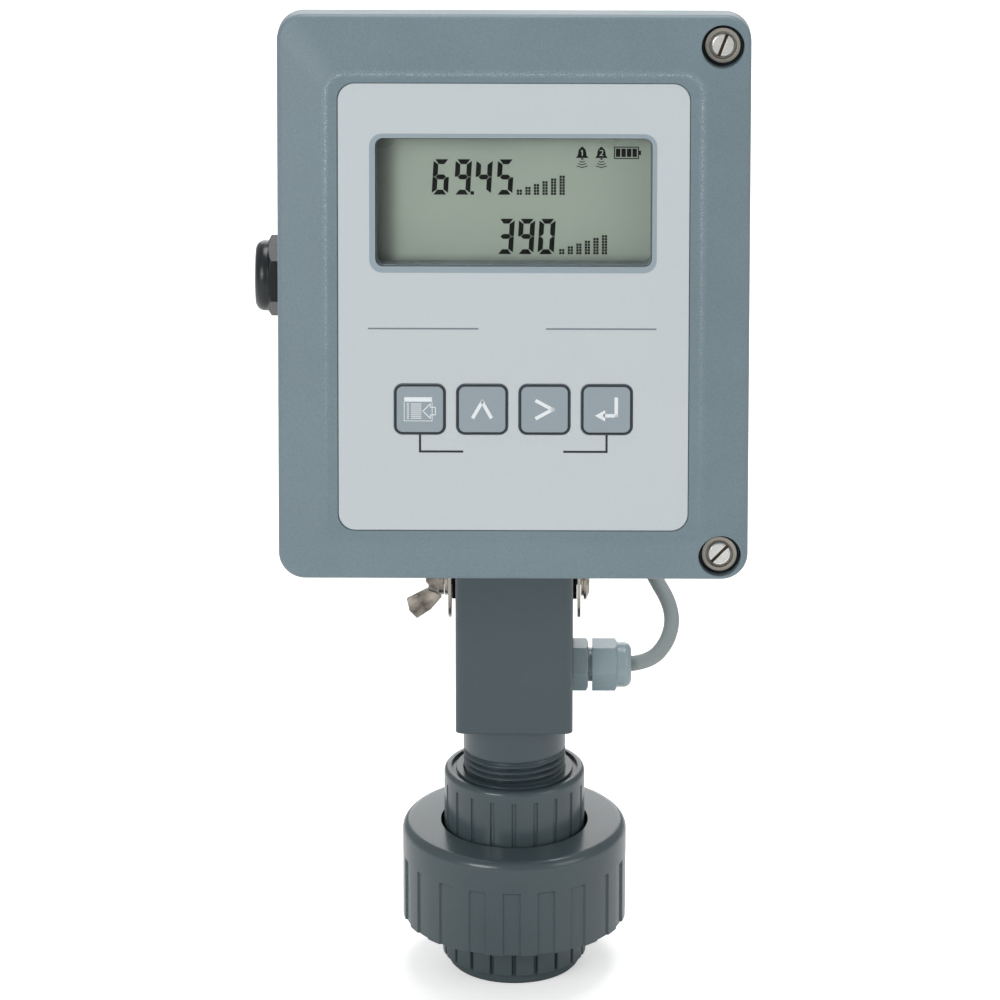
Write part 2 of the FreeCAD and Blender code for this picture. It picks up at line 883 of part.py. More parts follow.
def swivel_bolt():
    piece = Piece("swivel_bolt", BOLT)
    head = WASHER_START + S.bolt_washer_thickness
    crown = head + S.bolt_head_height
    edge = S.turned_chamfer
    profile = piece.face()
    outline(profile, [
        (-S.bolt_end, 0),
        (-S.bolt_end, S.bolt_radius - edge),
        (edge - S.bolt_end, S.bolt_radius),
        (head, S.bolt_radius),
        (head, S.bolt_head_radius),
        (head + edge, S.bolt_head_radius),
        (crown, S.bolt_head_radius - 3 * edge),
        (crown, 0),
    ])
    piece.turn(profile, "H_Axis")
    return piece.finish()


def ring_on_bolt(label, start, thickness, outer, inner, keep=True):
    piece = Piece(label, BOLT, keep)
    ring = piece.side(start)
    circle(ring, 0, 0, outer)
    circle(ring, 0, 0, inner)
    piece.pad(ring, thickness)
    return piece


def rubber_washers():
    thickness = S.rubber_washer_thickness
    washer = ring_on_bolt("washer", 0, thickness, S.rubber_washer_radius, S.bolt_radius, keep=False)
    right = placement(x=BLOCK_FACE)
    left = placement(x=-BLOCK_FACE - thickness)
    group("rubber_washers", washer.body, [left, right], BOLT)


def bolt_washer():
    thickness = S.bolt_washer_thickness
    washer = ring_on_bolt("bolt_washer", WASHER_START, thickness, S.bolt_washer_radius, S.bolt_radius)
    return washer.finish()


def lock_washer():
    inner = S.bolt_radius + S.bolt_hole_clearance
    start = -WASHER_START - S.lock_washer_thickness
    piece = ring_on_bolt("lock_washer", start, S.lock_washer_thickness, S.lock_washer_radius, inner)
    split = piece.side(-WASHER_START)
    gap = S.turned_chamfer / 2
    low = -S.lock_washer_radius - BEYOND
    outline(split, [(-gap, low), (gap, low), (gap, 0), (-gap, 0)])
    piece.cut(split, S.lock_washer_thickness)
    return piece.finish()


def wing_nut():
    """A round hub with two flat wings that slope outward from its base."""
    piece = Piece("wing_nut", BOLT)
    base = WASHER_START + S.lock_washer_thickness + S.face_gap
    crown = base + S.wing_hub_height
    profile = piece.face()
    outline(profile, [
        (-base, 0),
        (-base, S.wing_hub_radius),
        (-base - S.turned_chamfer * 2, S.wing_hub_radius),
        (-crown, S.wing_hub_crown),
        (-crown, 0),
    ])
    piece.turn(profile, "H_Axis")
    wings = piece.face(-S.wing_thickness / 2)
    for way in (1, -1):
        outline(wings, [
            (-base - S.turned_chamfer, way * S.wing_root),
            (-base - S.turned_chamfer, way * S.wing_base),
            (-base - S.wing_side_rise, way * S.wing_side),
            (-base - S.wing_tip_rise, way * S.wing_span),
            (-base - S.wing_corner_rise, way * S.wing_corner),
            (-base - S.wing_rise, way * S.wing_top),
            (-crown, way * S.wing_root),
        ])
    piece.pad(wings, S.wing_thickness)
    bore = piece.side(-base)
    circle(bore, 0, 0, S.bolt_radius + S.bolt_hole_clearance)
    piece.cut(bore, S.wing_hub_height)
    return piece.finish()


def swivel_bracket():
    piece = Piece("swivel_bracket", HOUSING)
    plate_front = S.back_depth
    plate_back = S.back_depth - S.sheet_thickness
    plate = piece.face(plate_back)
    round_box(plate, -EAR_OUTER, EAR_OUTER, S.bracket_bottom, S.bracket_top, S.sheet_thickness)
    piece.pad(plate, S.sheet_thickness)
    for start in (EAR_INNER, -EAR_OUTER):
        ear = piece.side(start)
        high, low = (-plate_front, S.ear_root_top), (-plate_front, S.bracket_bottom)
        tongue(ear, high, low, (0, 0), S.ear_radius)
        piece.pad(ear, S.sheet_thickness)
    hole = piece.side(EAR_OUTER)
    circle(hole, 0, 0, S.bolt_radius + S.bolt_hole_clearance)
    piece.cut(hole, 2 * EAR_OUTER)
    holes = piece.face(plate_front)
    for across, up in bracket_screw_places():
        circle(holes, across, up, S.bracket_screw_radius)
    piece.cut(holes, S.sheet_thickness)
    return piece.finish()


def bracket_screw_places():
    spread = S.bracket_screw_spread / 2
    return [(a, b) for a in (-spread, spread) for b in (S.bracket_screw_low, S.bracket_screw_high)]


def bracket_screws():
    screw = Piece("bracket_screw", STEM, keep=False)
    head = screw.face(-S.bracket_screw_head_height)
    circle(head, 0, 0, S.bracket_screw_head)
    screw.pad(head, S.bracket_screw_head_height)
    shank = screw.face()
    circle(shank, 0, 0, S.bracket_screw_radius)
    screw.pad(shank, S.bracket_screw_length)
    screw.fillet(S.turned_chamfer, on_circle(S.bracket_screw_head, S.bracket_screw_head_height, "y"))
    depth = S.back_depth - S.sheet_thickness
    places = [placement(a, -depth, b) for a, b in bracket_screw_places()]
    group("bracket_screws", screw.body, places, HOUSING)


# Housing base

HALF_WIDTH = S.cover_width / 2
BASE_SIDE = HALF_WIDTH - S.base_inset
BASE_LOW = S.cover_bottom + S.base_low_inset
BASE_HIGH = S.cover_top - S.base_inset
RIM_DEPTH = S.parting_depth - S.cover_gap
FLOOR_DEPTH = S.back_depth + S.wall
SCREW_ACROSS = HALF_WIDTH - S.screw_inset
SLOT_LEANS = {"lower": 45, "upper": 21}
SCREW_HEIGHTS = {"lower": S.cover_bottom + S.screw_low_inset, "upper": S.cover_top - S.screw_top_inset}
HINGE_ACROSS = -BASE_SIDE - S.hinge_wall_gap - S.knuckle_radius
HINGE_DEPTH = S.parting_depth - S.hinge_wall_gap - S.knuckle_radius
KNUCKLE_STEP = S.knuckle_length + S.knuckle_gap
HINGE_MIDDLES = (BASE_LOW + S.hinge_inset, BASE_HIGH - S.hinge_inset)


def knuckle(piece, low, start, end):
    """One hinge knuckle, round the hinge axis and joined to a wall between two points."""
    sketch = piece.level(low)
    tongue(sketch, start, end, (HINGE_ACROSS, -HINGE_DEPTH), S.knuckle_radius)
    piece.pad(sketch, S.knuckle_length)


def hinge_bore(piece, radius):
    for middle in HINGE_MIDDLES:
        length = 3 * KNUCKLE_STEP
        bore = piece.level(middle + length / 2)
        circle(bore, HINGE_ACROSS, -HINGE_DEPTH, radius)
        piece.cut(bore, length)


def housing_base():
    piece = Piece("housing_base", HOUSING)
    shell = piece.face(S.back_depth)
    round_box(shell, -BASE_SIDE, BASE_SIDE, BASE_LOW, BASE_HIGH, S.base_corner)
    piece.pad(shell, RIM_DEPTH - S.back_depth)
    piece.fillet(S.wall, at_depth(-S.back_depth, "y"))
    for height in SCREW_HEIGHTS.values():
        lug = piece.face(S.lug_back_depth)
        circle(lug, SCREW_ACROSS, height, S.lug_radius)
        piece.pad(lug, RIM_DEPTH - S.lug_back_depth)
    cavity = piece.face(RIM_DEPTH)
    inner = BASE_SIDE - S.wall
    round_box(cavity, -inner, inner, BASE_LOW + S.wall, BASE_HIGH - S.wall, S.base_corner - S.wall)
    piece.cut(cavity, RIM_DEPTH - FLOOR_DEPTH)
    for height in SCREW_HEIGHTS.values():
        clip_space = piece.face(RIM_DEPTH)
        circle(clip_space, SCREW_ACROSS, height, S.clip_space_radius)
        piece.cut(clip_space, S.clip_space_depth)
        seat = piece.face(RIM_DEPTH - S.clip_space_depth)
        circle(seat, SCREW_ACROSS, height, S.insert_radius)
        piece.cut(seat, S.insert_length)
    for middle in HINGE_MIDDLES:
        for way in (-1, 1):
            low = middle + way * KNUCKLE_STEP - S.knuckle_length / 2
            back = (-BASE_SIDE, -HINGE_DEPTH + S.knuckle_radius)
            front = (-BASE_SIDE, -HINGE_DEPTH - S.knuckle_radius)
            knuckle(piece, low, back, front)
    hinge_bore(piece, S.hinge_pin_radius)
    bosses = piece.face(FLOOR_DEPTH)
    for across, up in bracket_screw_places():
        circle(bosses, across, up, 2 * S.bracket_screw_radius)
    piece.pad(bosses, S.bracket_screw_length)
    tip = S.back_depth - S.sheet_thickness + S.bracket_screw_length
    threads = piece.face(tip)
    for across, up in bracket_screw_places():
        circle(threads, across, up, S.bracket_screw_radius)
    piece.cut(threads, tip - S.back_depth)
    side_hole = piece.side(-inner)
    circle(side_hole, -S.side_gland_depth, S.side_gland_height, S.side_gland_thread_radius)
    piece.cut(side_hole, S.wall)
    rear_hole = piece.face(FLOOR_DEPTH)
    circle(rear_hole, S.rear_gland_side, S.rear_gland_height, S.gland_thread_radius)
    piece.cut(rear_hole, S.wall)
    return piece.finish()


def screw_inserts():
    insert = Piece("insert", STEM, keep=False)
    ring = insert.face(-S.insert_length)
    circle(ring, 0, 0, S.insert_radius)
    circle(ring, 0, 0, S.screw_radius + S.screw_clearance)
    insert.pad(ring, S.insert_length)
    depth = RIM_DEPTH - S.clip_space_depth
    places = [placement(SCREW_ACROSS, -depth, height) for height in SCREW_HEIGHTS.values()]
    group("screw_inserts", insert.body, places, HOUSING)


def hinge_pins():
    pin = Piece("pin", STEM, keep=False)
    length = 2 * KNUCKLE_STEP + S.knuckle_length
    rod = pin.level(-length / 2)
    circle(rod, 0, 0, S.hinge_pin_radius)
    pin.pad(rod, length)
    places = [placement(HINGE_ACROSS, -HINGE_DEPTH, middle) for middle in HINGE_MIDDLES]
    group("hinge_pins", pin.body, places, HOUSING)


def battery_frame():
    half = S.holder_wall + S.battery_radius
    height = BASE_HIGH - S.wall - S.battery_margin - half
    return HOUSING * placement(S.battery_left, -FLOOR_DEPTH - half, height)


def battery():
    piece = Piece("battery", battery_frame())
    radius = S.battery_radius
    end = S.battery_length
    profile = piece.face()
    outline(profile, [
        (0, 0),
        (0, radius),
        (end - S.battery_nub, radius),
        (end - S.battery_nub, radius / 3),
        (end, radius / 3),
        (end, 0),
    ])
    piece.turn(profile, "H_Axis")
    return piece.finish()


def battery_holder():
    """A tray on the housing's floor with a round bed and two end walls."""
    piece = Piece("battery_holder", battery_frame())
    half = S.battery_radius + S.holder_wall
    tray = piece.face(-half)
    left = -2 * S.holder_wall
    right = S.battery_length + S.holder_wall
    outline(tray, [(left, -half), (right, -half), (right, half), (left, half)])
    piece.pad(tray, half)
    bed = piece.side(S.battery_length)
    circle(bed, 0, 0, S.battery_radius)
    piece.cut(bed, S.battery_length)
    return piece.finish()


# Front cover and what it carries

CEILING_DEPTH = S.panel_depth - S.wall
RECESS_FLOOR = S.panel_depth - S.label_recess
LCD_FRONT = RECESS_FLOOR - S.lcd_setback
LCD_BACK = LCD_FRONT - S.lcd_thickness
LCD_FRAME_FRONT = LCD_FRONT + S.lcd_frame_lip
BOARD_DEPTH = LCD_BACK - S.lcd_frame_base
KEY_FLOOR = S.panel_depth + S.key_proud - S.key_thickness - 2 * S.key_travel
CAVITY_SIDE = BASE_SIDE - 2 * S.wall
CAVITY_LOW = BASE_LOW + 2 * S.wall
CAVITY_HIGH = BASE_HIGH - 2 * S.wall
CAVITY_CORNER = S.base_corner - 2 * S.wall


def key_places():
    return [(i - 1.5) * S.key_pitch for i in range(4)]


def post_places():
    across = S.board_width / 2 - S.post_inset
    heights = (S.board_bottom + S.post_inset, S.board_top - S.post_inset)
    return [(a, b) for a in (-across, across) for b in heights]


def window_box(sketch, margin, corner):
    half = S.window_width / 2 + margin
    round_box(sketch, -half, half, S.window_bottom - margin, S.window_top + margin, corner)


def key_box(sketch, across, margin):
    half = S.key_size / 2 + margin
    low, high = S.key_height - half, S.key_height + half
    round_box(sketch, across - half, across + half, low, high, S.key_corner + margin)


def gasket_outline(sketch):
    for inset in (S.gasket_inset, S.gasket_inset + S.gasket_width):
        side = BASE_SIDE - inset
        round_box(sketch, -side, side, BASE_LOW + inset, BASE_HIGH - inset, S.base_corner - inset)


def front_cover():
    piece = Piece("front_cover", HOUSING)
    rim = piece.face(S.parting_depth)
    round_box(rim, -HALF_WIDTH, HALF_WIDTH, S.cover_bottom, S.cover_top, S.cover_corner)
    piece.pad(rim, S.cover_edge_depth - S.parting_depth)
    eaves = piece.face(S.cover_edge_depth)
    round_box(eaves, -HALF_WIDTH, HALF_WIDTH, S.cover_bottom, S.cover_top, S.cover_corner)
    ridge = piece.face(S.panel_depth)
    side = S.panel_width / 2
    round_box(ridge, -side, side, S.panel_bottom, S.panel_top, S.panel_corner)
    piece.loft(eaves, ridge)
    piece.fillet(S.ridge_radius, at_depth(-S.panel_depth))
    piece.fillet(S.eaves_radius, at_depth(-S.cover_edge_depth))

    cavity = piece.face(S.parting_depth)
    round_box(cavity, -CAVITY_SIDE, CAVITY_SIDE, CAVITY_LOW, CAVITY_HIGH, CAVITY_CORNER)
    piece.cut(cavity, CEILING_DEPTH - S.parting_depth, forward=True)
    posts = piece.face(BOARD_DEPTH)
    for across, up in post_places():
        circle(posts, across, up, S.post_radius)
    piece.pad(posts, CEILING_DEPTH - BOARD_DEPTH)
    pilots = piece.face(BOARD_DEPTH + S.board_screw_length)
    for across, up in post_places():
        circle(pilots, across, up, S.board_screw_radius)
    piece.cut(pilots, S.board_screw_length)

    collar = piece.face(LCD_FRAME_FRONT + S.collar_gap)
    window_box(collar, 0, S.window_corner)
    window_box(collar, S.collar_wall, S.window_corner)
    piece.pad(collar, CEILING_DEPTH - LCD_FRAME_FRONT - S.collar_gap)

    groove = piece.face(S.parting_depth)
    gasket_outline(groove)
    piece.cut(groove, S.gasket_thickness, forward=True)

    recess = piece.face(S.panel_depth)
    half = S.label_width / 2 + S.label_gap
    round_box(recess, -half, half, S.label_bottom - S.label_gap, S.label_top + S.label_gap, S.label_corner)
    piece.cut(recess, S.label_recess)
    rabbet = piece.face(RECESS_FLOOR)
    window_box(rabbet, S.pane_margin, S.window_corner)
    piece.cut(rabbet, S.pane_thickness)
    opening = piece.face(RECESS_FLOOR)
    window_box(opening, 0, S.window_corner)
    piece.cut(opening, S.wall)
    wells = piece.face(RECESS_FLOOR)
    for across in key_places():
        key_box(wells, across, S.key_gap)
    piece.cut(wells, RECESS_FLOOR - KEY_FLOOR)
    stems = piece.face(RECESS_FLOOR)
    for across in key_places():
        circle(stems, across, S.key_height, S.key_stem_radius + S.key_gap)
    piece.cut(stems, S.wall)

    for height in SCREW_HEIGHTS.values():
        well = piece.face(S.panel_depth)
        circle(well, SCREW_ACROSS, height, S.screw_recess_radius)
        piece.cut(well, S.panel_depth - S.screw_recess_floor)
        hole = piece.face(S.panel_depth)
        circle(hole, SCREW_ACROSS, height, S.screw_radius + S.screw_clearance)
        piece.cut(hole, S.panel_depth - S.parting_depth)
        clip_space = piece.face(S.parting_depth)
        circle(clip_space, SCREW_ACROSS, height, S.clip_space_radius)
        piece.cut(clip_space, S.clip_space_cover, forward=True)

    for middle in HINGE_MIDDLES:
        low = middle - S.knuckle_length / 2
        left = (HINGE_ACROSS - S.knuckle_radius, -S.parting_depth)
        right = (HINGE_ACROSS + S.knuckle_radius, -S.parting_depth)
        knuckle(piece, low, left, right)
    hinge_bore(piece, S.hinge_pin_radius + S.hinge_pin_clearance)
    return piece.finish()


def cover_gasket():
    piece = Piece("cover_gasket", HOUSING)
    ring = piece.face(S.parting_depth)
    gasket_outline(ring)
    piece.pad(ring, S.gasket_thickness)
    return piece.finish()


def front_label():
    piece = Piece("front_label", HOUSING)
    sheet_outline = piece.face(RECESS_FLOOR)
    half = S.label_width / 2
    round_box(sheet_outline, -half, half, S.label_bottom, S.label_top, S.label_corner)
    window_box(sheet_outline, 0, S.window_corner)
    for across in key_places():
        key_box(sheet_outline, across, S.key_gap)
    piece.pad(sheet_outline, S.label_thickness)
    return piece.finish()


def display_window():
    piece = Piece("display_window", HOUSING)
    pane = piece.face(RECESS_FLOOR - S.pane_thickness)
    window_box(pane, S.pane_margin - S.key_gap, S.window_corner)
    piece.pad(pane, S.pane_thickness)
    return piece.finish()


def lcd_frame():
    piece = Piece("lcd_frame", HOUSING)
    block = piece.face(BOARD_DEPTH)
    window_box(block, S.lcd_frame_margin, S.turned_chamfer)
    piece.pad(block, LCD_FRAME_FRONT - BOARD_DEPTH)
    pocket = piece.face(LCD_FRAME_FRONT)
    window_box(pocket, S.lcd_margin, S.turned_chamfer)
    piece.cut(pocket, LCD_FRAME_FRONT - LCD_BACK)
    return piece.finish()


def lcd_glass():
    piece = Piece("lcd_glass", HOUSING)
    glass = piece.face(LCD_BACK)
    window_box(glass, S.lcd_margin - S.face_gap / 2, S.turned_chamfer)
    piece.pad(glass, S.lcd_thickness)
    return piece.finish()


def main_board():
    piece = Piece("main_board", HOUSING)
    board = piece.face(BOARD_DEPTH - S.board_thickness)
    half = S.board_width / 2
    round_box(board, -half, half, S.board_bottom, S.board_top, S.turned_chamfer)
    for across, up in post_places():
        circle(board, across, up, S.board_screw_radius)
    piece.pad(board, S.board_thickness)
    return piece.finish()


def board_screws():
    screw = Piece("board_screw", STEM, keep=False)
    head = screw.face(-S.board_screw_head_height)
    circle(head, 0, 0, S.board_screw_head)
    screw.pad(head, S.board_screw_head_height)
    shank = screw.face()
    circle(shank, 0, 0, S.board_screw_radius)
    screw.pad(shank, S.board_screw_length + S.board_thickness)
    depth = BOARD_DEPTH - S.board_thickness
    places = [placement(a, -depth, b) for a, b in post_places()]
    group("board_screws", screw.body, places, HOUSING)


def terminal_block():
    piece = Piece("terminal_block", HOUSING)
    back = BOARD_DEPTH - S.board_thickness - S.terminal_depth
    right = S.terminal_left + S.terminal_ways * S.terminal_pitch
    high = S.terminal_low + S.terminal_height
    block = piece.face(back)
    outline(block, [
        (S.terminal_left, S.terminal_low),
        (right, S.terminal_low),
        (right, high),
        (S.terminal_left, high),
    ])
    piece.pad(block, S.terminal_depth)
    middle = S.terminal_left + S.terminal_pitch / 2
    entry = piece.level(S.terminal_low + S.terminal_height / 2)
    circle(entry, middle, -back - S.terminal_depth / 2, S.terminal_entry_radius)
    entries = piece.cut(entry, S.terminal_height / 2)
    span = (S.terminal_ways - 1) * S.terminal_pitch
    piece.repeat_along(entries, "X_Axis", span, S.terminal_ways)
    driver = piece.face(back)
    circle(driver, middle, high - S.terminal_height / 4, S.terminal_entry_radius)
    drivers = piece.cut(driver, S.terminal_depth / 3, forward=True)
    piece.repeat_along(drivers, "X_Axis", span, S.terminal_ways)
    return piece.finish()


def key_switches():
    switch = Piece("switch", STEM, keep=False)
    half = S.switch_width / 2
    base = switch.face()
    outline(base, [(-half, -half), (half, -half), (half, half), (-half, half)])
    switch.pad(base, S.switch_height)
    plunger = switch.face()
    circle(plunger, 0, 0, S.plunger_radius)
    key_end = S.panel_depth + S.key_proud - S.key_thickness - S.key_stem_length
    switch.pad(plunger, key_end - S.plunger_gap - BOARD_DEPTH)
    places = [placement(across, -BOARD_DEPTH, S.key_height) for across in key_places()]
    group("key_switches", switch.body, places, HOUSING)


def key(label, across):
    piece = Piece(label, HOUSING)
    back = S.panel_depth + S.key_proud - S.key_thickness
    cap = piece.face(back)
    key_box(cap, across, 0)
    piece.pad(cap, S.key_thickness)
    stem = piece.face(back - S.key_stem_length)
    circle(stem, across, S.key_height, S.key_stem_radius)
    piece.pad(stem, S.key_stem_length)
    return piece.finish()


def keys():
    for label, across in zip(("key_menu", "key_up", "key_right", "key_enter"), key_places()):
        key(label, across)


# Captive cover screws

def screw_ferrules():
    ferrule = Piece("ferrule", STEM, keep=False)
    cup = ferrule.face()
    circle(cup, 0, 0, S.ferrule_radius)
    circle(cup, 0, 0, S.screw_radius + S.screw_clearance)
    ferrule.pad(cup, S.ferrule_height)
    hollow = ferrule.face(S.ferrule_height)
    circle(hollow, 0, 0, S.ferrule_radius - S.ferrule_rim)
    ferrule.cut(hollow, S.ferrule_height - S.ferrule_floor)
    places = [placement(SCREW_ACROSS, -S.screw_recess_floor, height) for height in SCREW_HEIGHTS.values()]
    group("screw_ferrules", ferrule.body, places, HOUSING)


def retaining_clip(label, height):
    piece = Piece(label, HOUSING)
    ring = piece.face(S.clip_depth)
    circle(ring, SCREW_ACROSS, height, S.clip_radius)
    circle(ring, SCREW_ACROSS, height, S.screw_radius + S.hinge_pin_clearance)
    piece.pad(ring, S.clip_thickness)
    mouth = piece.face(S.clip_depth + S.clip_thickness)
    half = S.turned_chamfer
    low = height - S.clip_radius - BEYOND
    outline(mouth, [
        (SCREW_ACROSS - half, low),
        (SCREW_ACROSS + half, low),
        (SCREW_ACROSS + half, height),
        (SCREW_ACROSS - half, height),
    ])
    piece.cut(mouth, S.clip_thickness)
    return piece.finish()


def cover_screw(label, height, slot_lean):
    piece = Piece(label, HOUSING)
    seat = S.screw_recess_floor + S.ferrule_floor
    shank = piece.face(S.screw_tip_depth)
    circle(shank, SCREW_ACROSS, height, S.screw_radius)
    piece.pad(shank, seat - S.screw_tip_depth)
    head = piece.face(seat)
    circle(head, SCREW_ACROSS, height, S.screw_head_radius)
    piece.pad(head, S.screw_head_height)
    top = seat + S.screw_head_height
    piece.fillet(S.turned_chamfer, on_circle(S.screw_head_radius, -top, "y"))
    slot = piece.face(top)
    half = S.screw_slot / 2
    reach = S.screw_head_radius + BEYOND
    lean = math.radians(slot_lean)
    corners = []
    for side, end in ((-1, -1), (1, -1), (1, 1), (-1, 1)):
        across = SCREW_ACROSS + half * (side * math.cos(lean)) + reach * (end * math.sin(lean))
        up = height - half * (side * math.sin(lean)) + reach * (end * math.cos(lean))
        corners.append((across, up))
    outline(slot, corners)
    piece.cut(slot, S.screw_slot)
    return piece.finish()


def cover_screws():
    for end, height in SCREW_HEIGHTS.items():
        retaining_clip(f"screw_clip_{end}", height)
        cover_screw(f"cover_screw_{end}", height, SLOT_LEANS[end])


# Sensor cable, from the stem gland round the right side and up to the rear gland

CABLE_BEND_SHARE = 0.45
CABLE_LOOP = [
    (50.7, 3.0, 112.8),
    (51.8, 9.6, 121.3),
    (44.3, 19.5, 130.7),
    (38.8, 27.0, 143.0),
    (36.4, 26.0, 157.0),
]


def cable_route():
    """Straight out of the stem gland, round the loop and straight into the rear gland."""
    inside = float(S.gland_length - S.cable_hold)
    outside = float(S.gland_length + S.cable_lead)
    further = float(S.gland_length + S.cable_rear_lead)
    stem, rear = stem_gland_frame(), rear_gland_frame()
    start = [stem.multVec(FreeCAD.Vector(0, 0, along)) for along in (inside, outside)]
    end = [rear.multVec(FreeCAD.Vector(0, 0, along)) for along in (further, inside)]
    return start + [FreeCAD.Vector(*point) for point in CABLE_LOOP] + end


def rounded_path(points):
    """Straight runs joined by arcs, each as large as its two runs allow."""
    edges = []
    radii = []
    start = points[0]
    for before, corner, after in zip(points, points[1:], points[2:]):
        back = (before - corner).normalize()
        ahead = (after - corner).normalize()
        half_turn = (math.pi - back.getAngle(ahead)) / 2
        cut_back = CABLE_BEND_SHARE * min((before - corner).Length, (after - corner).Length)
        radius = cut_back / math.tan(half_turn)
        radii.append(radius)
        bisector = (back + ahead).normalize()
        centre = corner + bisector * (radius / math.cos(half_turn))
        first = corner + back * cut_back
        last = corner + ahead * cut_back
        middle = centre - bisector * radius
        edges.append(Part.LineSegment(start, first).toShape())
        edges.append(Part.Arc(first, middle, last).toShape())
        start = last
    edges.append(Part.LineSegment(start, points[-1]).toShape())
    return Part.Wire(edges), radii


def sensor_cable():
    route = cable_route()
    path, radii = rounded_path(route)
    section = Part.Wire(Part.makeCircle(float(S.cable_radius), route[0], route[1] - route[0]))
    item = doc.addObject("Part::Feature", "sensor_cable")
    item.Shape = path.makePipeShell([section], True, False)
    nodes.append(item)
    volume = path.Length * math.pi * float(S.cable_radius) ** 2
    print("cable length", round(path.Length, 1), "arc radii", [round(r, 1) for r in radii])
    print("cable route", [tuple(round(v, 2) for v in point) for point in route])
    print("cable volume ratio", round(item.Shape.Volume / volume, 4))


union_lower_body()
union_o_ring()
union_nut()
union_tailpiece()
threaded_nipple()
adapter_block()
stem_gland()
swivel_bolt()
rubber_washers()
bolt_washer()
lock_washer()
wing_nut()
swivel_bracket()
bracket_screws()
housing_base()
screw_inserts()
hinge_pins()
side_gland()
rear_gland()
battery()
battery_holder()
front_cover()
cover_gasket()
front_label()
display_window()
lcd_frame()
lcd_glass()
main_board()
board_screws()
terminal_block()
key_switches()
keys()
screw_ferrules()
cover_screws()
sensor_cable()
doc.recompute()

for item in doc.Objects:
    if "Invalid" in item.State or "Error" in item.State:
        raise RuntimeError(f"{item.Label} failed: {item.State}")
for node in nodes:
    if node.Shape.isNull() or not node.Shape.isValid():
        raise RuntimeError(f"{node.Label} has no valid shape")

os.makedirs("parts", exist_ok=True)
for node in nodes:
    node.Shape.exportStep(f"parts/{node.Label}.step")
print(len(nodes), "nodes")
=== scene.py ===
import json
import math

import bmesh
import bpy
from mathutils import Matrix, Vector


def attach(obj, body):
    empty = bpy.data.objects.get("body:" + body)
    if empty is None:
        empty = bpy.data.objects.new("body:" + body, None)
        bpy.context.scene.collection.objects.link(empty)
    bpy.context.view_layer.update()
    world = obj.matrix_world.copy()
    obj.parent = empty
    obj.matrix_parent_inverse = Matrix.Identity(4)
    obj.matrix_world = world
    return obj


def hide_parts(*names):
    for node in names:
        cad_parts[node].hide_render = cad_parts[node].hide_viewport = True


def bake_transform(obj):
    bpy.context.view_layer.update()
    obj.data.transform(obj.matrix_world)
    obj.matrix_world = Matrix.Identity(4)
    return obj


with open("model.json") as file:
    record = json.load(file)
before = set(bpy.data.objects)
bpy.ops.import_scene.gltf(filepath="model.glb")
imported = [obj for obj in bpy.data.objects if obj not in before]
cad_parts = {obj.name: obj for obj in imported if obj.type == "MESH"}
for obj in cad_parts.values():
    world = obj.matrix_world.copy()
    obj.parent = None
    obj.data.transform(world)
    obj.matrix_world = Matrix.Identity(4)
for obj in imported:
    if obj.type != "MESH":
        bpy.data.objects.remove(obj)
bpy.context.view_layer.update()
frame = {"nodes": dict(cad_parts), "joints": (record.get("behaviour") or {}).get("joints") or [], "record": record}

MM = 0.001
NODES = frame["nodes"]


# Places: the housing's own frame has X across, Y up the housing and Z out of its front, from the bolt

def joint(name):
    return next(j for j in frame["joints"] if j["name"] == name)


def housing_frame():
    bolt = Vector(joint("housing_tilt")["pos_m"])
    up = -Vector(joint("cover_hinge")["axis"])
    out = Vector(joint("upper_screw_lift")["axis"])
    across = up.cross(out)
    turn = Matrix((across, up, out)).transposed().to_4x4()
    return Matrix.Translation(bolt) @ turn


HOUSING = housing_frame()
ACROSS, UP, OUT = (HOUSING.col[i].xyz for i in range(3))


def place_on(x, y, depth):
    """A place in the housing's own frame, in millimetres, as a place in the scene."""
    return HOUSING @ Vector((x * MM, y * MM, depth * MM))


def corners_of(node):
    """The low and the high corner of a node in the housing's own frame, in millimetres."""
    item = NODES[node]
    inwards = HOUSING.inverted() @ item.matrix_world
    spots = [inwards @ vertex.co / MM for vertex in item.data.vertices]
    return [Vector([pick(spot[i] for spot in spots) for i in range(3)]) for pick in (min, max)]


def window_box(lip):
    """Left, right, low and high edge of the display window inside the lip that the label covers."""
    low, high = corners_of("display_window")
    return low.x + lip, high.x - lip, low.y + lip, high.y - lip


LABEL_FACE = corners_of("front_label")[1].z
LCD_FACE = corners_of("lcd_glass")[1].z
WINDOW_LIP = 2.8
WINDOW = window_box(WINDOW_LIP)
WINDOW_CORNER = 2.6
PANEL_MIDDLE = 103.6
PANEL_HALF_WIDTH = 58.6
PANEL_HALF_HEIGHT = 74.0


# Nodes that the materials share

def linear(value):
    share = value / 255
    if share <= 0.04045:
        return share / 12.92
    return ((share + 0.055) / 1.055) ** 2.4


def colour(red, green, blue):
    return (linear(red), linear(green), linear(blue), 1.0)


def grey(value):
    return (value, value, value, 1.0)


BLACK = grey(0.0)
WHITE = grey(1.0)


def surface_start(name):
    """A material with its shader, and the object's own coordinates in metres."""
    made = bpy.data.materials.new(name)
    made.use_nodes = True
    tree = made.node_tree
    shader = tree.nodes["Principled BSDF"]
    place = tree.nodes.new("ShaderNodeTexCoord").outputs["Object"]
    return made, tree, shader, place


def reopen(made):
    """The tree, shader, coordinates and base colour of a material that is already made."""
    tree = made.node_tree
    shader = tree.nodes["Principled BSDF"]
    place = tree.nodes["Texture Coordinate"].outputs["Object"]
    return tree, shader, place, shader.inputs["Base Color"].links[0].from_socket


def feed(tree, socket, value):
    """A socket takes a link from another node, or a plain value."""
    if hasattr(value, "node"):
        tree.links.new(value, socket)
    else:
        socket.default_value = value


